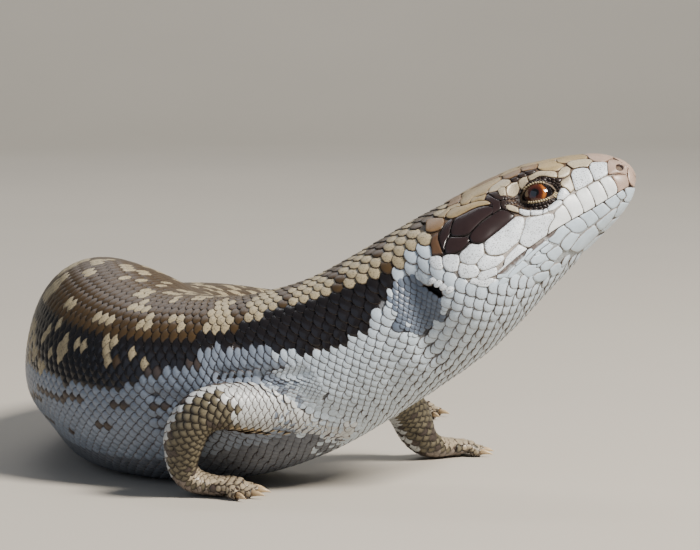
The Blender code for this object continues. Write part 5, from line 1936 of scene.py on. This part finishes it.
# The skin's own colours, where it shows between the shields and in the openings; the near black of the ear's
# opening is painted shade.
SKIN_FACE, SKIN_CROWN, SKIN_UNDER = "#A09890", "#5E4A38", "#A3A9AC"
SKIN_TEMPLE, SKIN_LIPS, SKIN_EAR_SHADE = "#1E1512", "#4A3A33", "#0D0908"
# Round the eye: reach past the opening in mm, and colour.
SKIN_LIDS = ((1.5, "#241B18"), (0.5, "#6A5844"), (0, "#1A1210"))


def rgb(code: str) -> np.ndarray:
    """Linear red, green and blue of an sRGB colour."""
    return np.array(linear(code)[:3])


class Skin:
    """One closed skin under all the scales, with lids, ears and mouth."""

    VOXEL = 0.62
    FINE_REACH, FINE_EDGE = (8.0, 6.2), 0.00022
    FACES = 186000

    def __init__(self, plan: BodyPlan, limbs: list[Limb], marks: Markings, surface: HeadSurface) -> None:
        """Take what the skin is made on."""
        self.plan, self.limbs, self.marks, self.surface = plan, limbs, marks, surface

    def tube(self, chart: Chart, inset: float, every: int, around: int) -> tuple[np.ndarray, list]:
        """Points and faces of one closed tube, set in from a chart's surface."""
        rows = chart.stations[::every]
        if rows[-1] != chart.stations[-1]:
            rows = np.append(rows, chart.stations[-1])
        share = np.linspace(-1, 1, around, endpoint=False)
        s, u = np.meshgrid(rows, share, indexing="ij")
        points, normals = chart.at(s, u)
        points = points - normals * inset
        points[..., 2] = np.maximum(points[..., 2], 0.04)
        count = len(rows)
        ends = [points[0].mean(axis=0), points[-1].mean(axis=0)]
        grid = np.arange(count * around).reshape(count, around)
        quads = ring_quads(grid)
        first, last = count * around, count * around + 1
        cap = [np.stack([grid[0], np.full(around, first), np.roll(grid[0], -1)], 1),
               np.stack([np.roll(grid[-1], -1), np.full(around, last), grid[-1]], 1)]
        return np.vstack([points.reshape(-1, 3), ends]), [quads, np.concatenate(cap)]

    def build(self, material: bpy.types.Material) -> bpy.types.Object:
        """Join the tubes, melt them into one skin, and shape the face."""
        points, quads, tris, start = [], [], [], 0
        tubes = [self.tube(self.plan.chart, SKIN_DEPTH, 1, 160)]
        for limb in self.limbs:
            tubes.append(self.tube(limb.chart, SKIN_DEPTH, 1, 48))
            for toe in limb.toes:
                tubes.append(self.tube(limb.toe_chart(*toe)[0], 0.22, 1, 24))
        for spots, (four, three) in tubes:
            points.append(spots)
            quads.append(four + start)
            tris.append(three + start)
            start += len(spots)
        item = new_object("skin", np.concatenate(points), [np.concatenate(quads), np.concatenate(tris)])
        turn_outward(item)
        bpy.ops.object.select_all(action="DESELECT")
        bpy.context.view_layer.objects.active = item
        item.select_set(True)
        melt = item.modifiers.new("melt", "REMESH")
        melt.mode, melt.voxel_size = "VOXEL", self.VOXEL * MM
        bpy.ops.object.modifier_apply(modifier=melt.name)
        total = triangles(item)
        thin = item.modifiers.new("thin", "DECIMATE")
        thin.ratio = min(1.0, self.FACES / total)
        bpy.ops.object.modifier_apply(modifier=thin.name)
        self.blend_joints(item)
        self.refine_face(item)
        self.shape_face(item)
        self.colour(item)
        item.data.shade_smooth()
        finish_piece(item, material)
        LOG.info("skin: %d triangles (melted from %d)", triangles(item), total)
        return item

    def write(self, item: bpy.types.Object, points: np.ndarray) -> None:
        """Put vertices back from the plan's millimetres."""
        item.data.vertices.foreach_set("co", ((points + ROOT_SHIFT) * MM).astype(np.float32).ravel())
        item.data.update()

    def blend_joints(self, item: bpy.types.Object) -> None:
        """Soften the skin where a leg leaves the body."""
        points = read_points(item)
        edges = np.zeros(len(item.data.edges) * 2, np.int32)
        item.data.edges.foreach_get("vertices", edges)
        a, b = edges.reshape(-1, 2).T
        count = len(points)
        degree = np.bincount(a, minlength=count) + np.bincount(b, minlength=count)
        weight = np.zeros(count)
        for limb in self.limbs:
            box = (np.abs(points - limb.points[len(limb.points) // 3]) < 34).all(axis=1)
            spots = points[box]
            inner = np.abs(limb.inside(spots) - 1.0)
            body = np.abs(self.plan.depth(spots) - 1.0)
            weight[box] = np.maximum(weight[box], (1 - ease(inner, 0.35, 0.8)) * (1 - ease(body, 0.12, 0.3)))
        for _ in range(26):
            total = np.stack([np.bincount(a, points[b, k], count) + np.bincount(b, points[a, k], count)
                              for k in range(3)], -1)
            points = points + 0.6 * weight[:, None] * (total / degree[:, None] - points)
        self.write(item, points)

    def refine_face(self, item: bpy.types.Object) -> None:
        """Finer faces round the eyes."""
        mesh = bmesh.new()
        mesh.from_mesh(item.data)
        for reach in self.FINE_REACH:
            near = []
            for edge in mesh.edges:
                middle = np.array((edge.verts[0].co + edge.verts[1].co) / 2) / MM - ROOT_SHIFT
                for orbit in self.surface.orbits:
                    gap = np.linalg.norm(middle - orbit.centre)
                    if gap < reach and edge.calc_length() > self.FINE_EDGE:
                        near.append(edge)
                        break
            bmesh.ops.subdivide_edges(mesh, edges=near, cuts=1, use_grid_fill=True)
            bmesh.ops.triangulate(mesh, faces=[f for f in mesh.faces if len(f.verts) > 4])
        mesh.to_mesh(item.data)
        mesh.free()

    def shape_face(self, item: bpy.types.Object) -> None:
        """Lay the lids over the eyes and press in the mouth line and the ears."""
        points = read_points(item)
        for orbit in self.surface.orbits:
            near = np.linalg.norm(points - orbit.centre, axis=1) < 12
            spots = points[near]
            out = orbit.axes[2]
            gap = orbit.place(spots)[0]
            outer = orbit.fit(spots + out * SKIN_DEPTH, skin=True)
            points[near] = np.where((gap < 3.4)[:, None], outer - out * 0.38, spots)
        point, along, left, up = self.plan.frame_at(20.0)
        away = points - point
        s = 20.0 + away @ along
        head = (s < 64) & (s > -2)
        line = Curve(MOUTH)(s)
        gap = np.abs(away @ up - line)
        dip = 0.55 * np.exp(-(gap / 0.42) ** 2) * (1 - ease(s, MOUTH_END - 3, MOUTH_END + 2)) * head
        side = np.sign(away @ left)
        points = points - (dip * side)[:, None] * left
        ear_left = self.plan.frame_at(EAR_STATION)[2]
        side, short_way, long_way = self.plan.by_ear(points)
        hollow = (short_way / EAR_HALF[0]) ** 2 + (long_way / EAR_HALF[1]) ** 2
        depth = 2.6 * (1 - ease(hollow, 0.35, 1.25)) * (np.abs(side) > EAR_SIDE)
        points = points - (depth * np.sign(side))[:, None] * ear_left
        self.write(item, points)

    def colour(self, item: bpy.types.Object) -> None:
        """Colour the skin with the markings of the scales that lie on it."""
        points = read_points(item)
        chart = self.plan.chart
        rows = chart.stations[::2]
        share = np.linspace(-1, 1, 97)[:-1]
        tree = BVHTree.FromPolygons(*self.grid_faces(chart, rows, share))
        s, u = np.zeros(len(points)), np.zeros(len(points))
        for k, spot in enumerate(points):
            hit = tree.find_nearest(Vector(spot))
            row, column = divmod(hit[2], len(share))
            s[k], u[k] = rows[row], share[column]
        turn = chart.pick(chart.turn, s, u)
        sorts = self.marks.body(s, turn, np.full(len(points), 0.5))
        for limb in self.limbs:
            box = (np.abs(points - limb.points[len(limb.points) // 2]) < 36).all(axis=1)
            spots = points[box]
            inside = limb.inside(spots)
            gaps = np.linalg.norm(spots[:, None] - limb.points[None, ::3], axis=2)
            run = limb.run[::3][np.argmin(gaps, axis=1)]
            body = self.plan.depth(spots)
            mine = (inside < 1.5) & (body > 1.0) | (body > 1.35)
            leg = self.marks.leg(limb, run, np.full(len(run), 0.5), np.full(len(run), 0.5))
            current = sorts[box]
            sorts[box] = np.where(mine, leg, current)
        tint = 0.42 * EDGES[sorts] + 0.30 * MIDDLES[sorts]
        head = s < 46
        top = head & (np.abs(turn) < 62)
        tint[head] = rgb(SKIN_FACE)
        tint[top] = rgb(SKIN_CROWN)
        below = head & (np.abs(u) > self.plan.mouth_at(s) / chart.half(s))
        tint[below] = rgb(SKIN_UNDER)
        temple = inside_any(np.stack([s, u * chart.half(s)], -1), temple_outlines(self.plan))
        tint[temple] = rgb(SKIN_TEMPLE)
        mouth = self.plan.mouth_at(s) / chart.half(s)
        lips = (s < MOUTH_END) & (np.abs(np.abs(u) - mouth) * chart.half(s) < 0.7)
        tint[lips] = rgb(SKIN_LIPS)
        for orbit in self.surface.orbits:
            gap = orbit.place(points)[0]
            near = np.linalg.norm(points - orbit.centre, axis=1) < 9
            for reach, code in SKIN_LIDS:
                tint[near & (gap < reach)] = rgb(code)
        # painted shade: the ear's opening is coloured near black
        tint[self.plan.in_ear(points)] = rgb(SKIN_EAR_SHADE)
        paint(item, "tint", "FLOAT_COLOR", np.concatenate([tint, np.ones((len(points), 1))], 1))

    def grid_faces(self, chart: Chart, rows: np.ndarray, share: np.ndarray) -> tuple[list, list]:
        """Points and quads of a chart for finding the nearest place."""
        s, u = np.meshgrid(rows, share, indexing="ij")
        points, _ = chart.at(s, u)
        count = len(share)
        grid = np.arange(len(rows) * count).reshape(len(rows), count)
        return [Vector(p) for p in points.reshape(-1, 3)], ring_quads(grid).tolist()


class Eyes:
    """The two eyeballs."""

    RINGS, AROUND = 40, 48
    BEHIND = 8

    def build(self, surface: HeadSurface, material: bpy.types.Material) -> None:
        """Make both eyeballs, each with its pole at the pupil."""
        for name, orbit in (("eye_right", surface.orbits[0]), ("eye_left", surface.orbits[1])):
            along, up, out = orbit.axes
            look = unit(out - 0.05 * up + 0.13 * along)
            across = unit(along - (along @ look) * look)
            tall = np.cross(look, across)
            fall = np.pi * (np.arange(1, self.RINGS) / self.RINGS) ** 1.35
            turn = np.linspace(0, 2 * math.pi, self.AROUND, endpoint=False)
            cornea = 1.0 + 0.035 * np.exp(-(fall / 0.55) ** 2)
            ring = (np.cos(turn)[:, None] * across + np.sin(turn)[:, None] * tall)
            points = (np.sin(fall)[:, None, None] * ring[None] + np.cos(fall)[:, None, None] * look)
            points = orbit.centre + EYE_RADIUS * cornea[:, None, None] * points
            poles = np.stack([orbit.centre + EYE_RADIUS * 1.035 * look, orbit.centre - EYE_RADIUS * look])
            grid = np.arange((self.RINGS - 1) * self.AROUND).reshape(self.RINGS - 1, self.AROUND)
            a, b = grid[:-1], grid[1:]
            quads = np.stack([a, b, np.roll(b, -1, 1), np.roll(a, -1, 1)], -1).reshape(-1, 4)
            first = grid.size
            caps = [np.stack([np.full(self.AROUND, first), grid[0], np.roll(grid[0], -1)], 1),
                    np.stack([np.roll(grid[-1], -1), grid[-1], np.full(self.AROUND, first + 1)], 1)]
            item = new_object(name + "_ball", np.vstack([points.reshape(-1, 3), poles]),
                              [quads, np.concatenate(caps)])
            back = self.BEHIND * (fall > 1.5)
            rows = np.repeat(EYE_RADIUS * np.sin(fall) + back, self.AROUND)
            away = np.concatenate([rows, [0, self.BEHIND]])
            paint(item, "away", "FLOAT", away)
            forward = np.concatenate([(points - orbit.centre).reshape(-1, 3) @ -across, [0, 0]])
            paint(item, "ahead", "FLOAT", forward)
            finish_piece(item, material)
            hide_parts(name)
            LOG.info("%s: %d triangles", item.name, triangles(item))


class Claws:
    """The twenty claws as one piece."""

    RINGS, AROUND = 9, 12

    def build(self, limbs: list[Limb], material: bpy.types.Material) -> bpy.types.Object:
        """Make a curved, tapering claw ahead of each toe."""
        points, quads, tris, along_values, nodes, start = [], [], [], [], [], 0
        for limb in limbs:
            for number, toe in enumerate(limb.toes, start=1):
                _, tip, way = limb.toe_chart(*toe)
                nodes.append(f"claw_{limb.name}_{number}")
                t = np.linspace(0, 1, self.RINGS)
                root = tip + (GAP - 0.9) * way
                path = root + (t * (CLAW_LENGTH + 0.9))[:, None] * way
                path[:, 2] += 0.30 * np.sin(t * 2.2) - 0.42 * t ** 2
                side = unit(np.cross(way, (0.0, 0.0, 1.0)))
                radius = CLAW_RADIUS * (1 - t ** 1.6) * 1.02 + 0.06
                path[:, 2] = np.maximum(path[:, 2], radius + 0.03)
                ways = unit(np.gradient(path, axis=0))
                up = np.cross(side, ways)
                turn = np.linspace(0, 2 * math.pi, self.AROUND, endpoint=False)
                ring = 0.74 * np.cos(turn)[:, None] * side + 0.0
                spots = path[:, None] + radius[:, None, None] * (
                    ring[None] + np.sin(turn)[None, :, None] * up[:, None])
                grid = start + np.arange(self.RINGS * self.AROUND).reshape(self.RINGS, self.AROUND)
                quads.append(ring_quads(grid))
                last = start + grid.size
                tris.append(np.stack([grid[0], np.full(self.AROUND, last), np.roll(grid[0], -1)], 1))
                tris.append(np.stack([np.roll(grid[-1], -1), np.full(self.AROUND, last + 1), grid[-1]], 1))
                points += [spots.reshape(-1, 3), path[:1], path[-1:] + 0.08 * ways[-1:]]
                along_values += [np.repeat(t, self.AROUND), [0.0, 1.0]]
                start += grid.size + 2
        item = new_object("claws", np.concatenate(points), [np.concatenate(quads), np.concatenate(tris)])
        turn_outward(item)
        paint(item, "along", "FLOAT", np.concatenate(along_values))
        finish_piece(item, material)
        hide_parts(*nodes)
        LOG.info("claws: %d triangles", triangles(item))
        return item


FLESH = ("head", "lower_jaw", "neck", "chest", "trunk_middle", "trunk_rear", "hips", "tail_base",
         "tail_middle", "tail_tip")
FLESH += tuple(f"{end}_{side}_{part}" for end in ("fore", "hind") for side in ("right", "left")
               for part in ("upper", "lower", "foot"))


@dataclass
class Studio:
    """Floor, soft lights and the photograph's camera."""

    eye_mm: tuple = (0.0, -706.0, 47.1)
    look_down: float = 5.0
    focal_px: float = 3043.0
    width_px: float = 700.0
    height_px: float = 550.0
    sensor_mm: float = 36.0

    def build(self) -> None:
        """Set everything up."""
        self.add_floor()
        self.add_camera()
        self.add_light("key", (0.74, -0.56, 0.84), 0.30, 33.0, "#FFF9F1")
        self.add_light("fill", (-0.80, -0.80, 0.40), 1.1, 2.3, "#D0E0FF")
        self.add_light("back", (-0.30, 0.80, 0.90), 0.6, 1.7, "#F0F4FF")
        self.add_light("backdrop", (0.0, 0.9, 1.9), 1.2, 26.0, "#FFFFFF", (0.0, 2.3, 0.7))
        world = bpy.data.worlds.new("studio")
        world.use_nodes = True
        shade = world.node_tree.nodes["Background"]
        shade.inputs[0].default_value = linear("#C9D4E2")
        shade.inputs[1].default_value = 0.26
        bpy.context.scene.world = world

    def add_floor(self) -> None:
        """A wide floor that turns up into a plain backdrop."""
        run = [(-3.0, 0.0), (1.6, 0.0)]
        for k in range(1, 13):
            turn = math.radians(90 * k / 12)
            run.append((1.6 + 0.8 * math.sin(turn), 0.8 - 0.8 * math.cos(turn)))
        run.append((2.4, 4.0))
        points = np.array([(x, y, z) for y, z in run for x in (-4.0, 4.0)]) / MM - ROOT_SHIFT
        rows = np.arange(len(run) - 1)
        quads = np.stack([2 * rows, 2 * rows + 1, 2 * rows + 3, 2 * rows + 2], 1)
        floor = new_object("studio_floor", points, [quads])
        floor.data.materials.append(FloorFinish().make())

    def stance(self) -> tuple[np.ndarray, np.ndarray, np.ndarray]:
        """Where the camera is on the body plan, where it looks, and its upward direction."""
        tilt = math.radians(self.look_down)
        back = -self.eye_mm[1]
        eye = np.array((0.0, -back * math.cos(tilt), self.eye_mm[2] + back * math.sin(tilt)))
        ahead = np.array((0.0, math.cos(tilt), -math.sin(tilt)))
        return eye, ahead, np.array((0.0, math.sin(tilt), math.cos(tilt)))

    def add_camera(self) -> None:
        """The camera fitted to the photograph."""
        camera = bpy.data.cameras.new("photo_camera")
        camera.sensor_width = self.sensor_mm
        camera.lens = self.focal_px * self.sensor_mm / self.width_px
        camera.clip_start, camera.clip_end = 0.01, 30.0
        item = bpy.data.objects.new("photo_camera", camera)
        item.location = (self.stance()[0] + ROOT_SHIFT) * MM
        item.rotation_euler = (math.radians(90 - self.look_down), 0.0, 0.0)
        bpy.context.scene.collection.objects.link(item)
        bpy.context.scene.camera = item

    def add_light(self, name: str, spot: tuple, size: float, power: float, colour: str,
                  target: tuple = (0.02, -0.10, 0.03)) -> None:
        """A soft square light aimed at the animal or at another target."""
        light = bpy.data.lights.new(name, "AREA")
        light.size, light.energy, light.color = size, power, linear(colour)[:3]
        item = bpy.data.objects.new(name, light)
        item.location = spot
        aim = Vector(target) - Vector(spot)
        item.rotation_euler = aim.to_track_quat("-Z", "Y").to_euler()
        bpy.context.scene.collection.objects.link(item)


def main() -> None:
    """Build every piece in order."""
    logging.basicConfig(level=logging.INFO, format="%(message)s")
    Studio().build()
    plan = BodyPlan()
    limbs = [Limb("fore_right", FORE_RIGHT, ARM_GIRTH, FORE_TOES, 1),
             Limb("fore_left", FORE_LEFT, ARM_GIRTH, FORE_TOES, -1),
             Limb("hind_right", hind_corners(plan, -1), THIGH_GIRTH, HIND_TOES, 1),
             Limb("hind_left", hind_corners(plan, 1), THIGH_GIRTH, HIND_TOES, -1)]
    marks = Markings()
    surface = HeadSurface(plan)
    scale = ScaleFinish().make()
    skin = Skin(plan, limbs, marks, surface).build(SkinFinish().make())
    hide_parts(*FLESH)
    spots = [Vector(p) for p in read_points(skin)]
    tree = BVHTree.FromPolygons(spots, [tuple(p.vertices) for p in skin.data.polygons])
    scales = BodyScales(plan, limbs, marks, tree)
    body = scales.body_batch()
    for name, low, high in COAT_LENGTHS:
        coat = Coat("scales_" + name)
        coat.add(body.keep((body.s >= low) & (body.s < high)))
        if name == "neck":
            coat.add(scales.ear_batch())
        coat.build(scale)
    for limb in limbs:
        coat = Coat("scales_" + limb.name)
        coat.add(scales.limb_batch(limb))
        for number, toe in enumerate(limb.toes):
            coat.add(scales.toe_batch(limb.toe_chart(*toe)[0], number))
        coat.build(scale)
    near = body.s < 62
    ghosts = np.stack([body.s[near], body.share[near] * plan.chart.half(body.s[near])], -1)
    HeadShields(plan, surface, ghosts).build(scale)
    Eyes().build(surface, EyeFinish().make())
    Claws().build(limbs, ClawFinish().make())


if __name__ == "__main__":
    main()
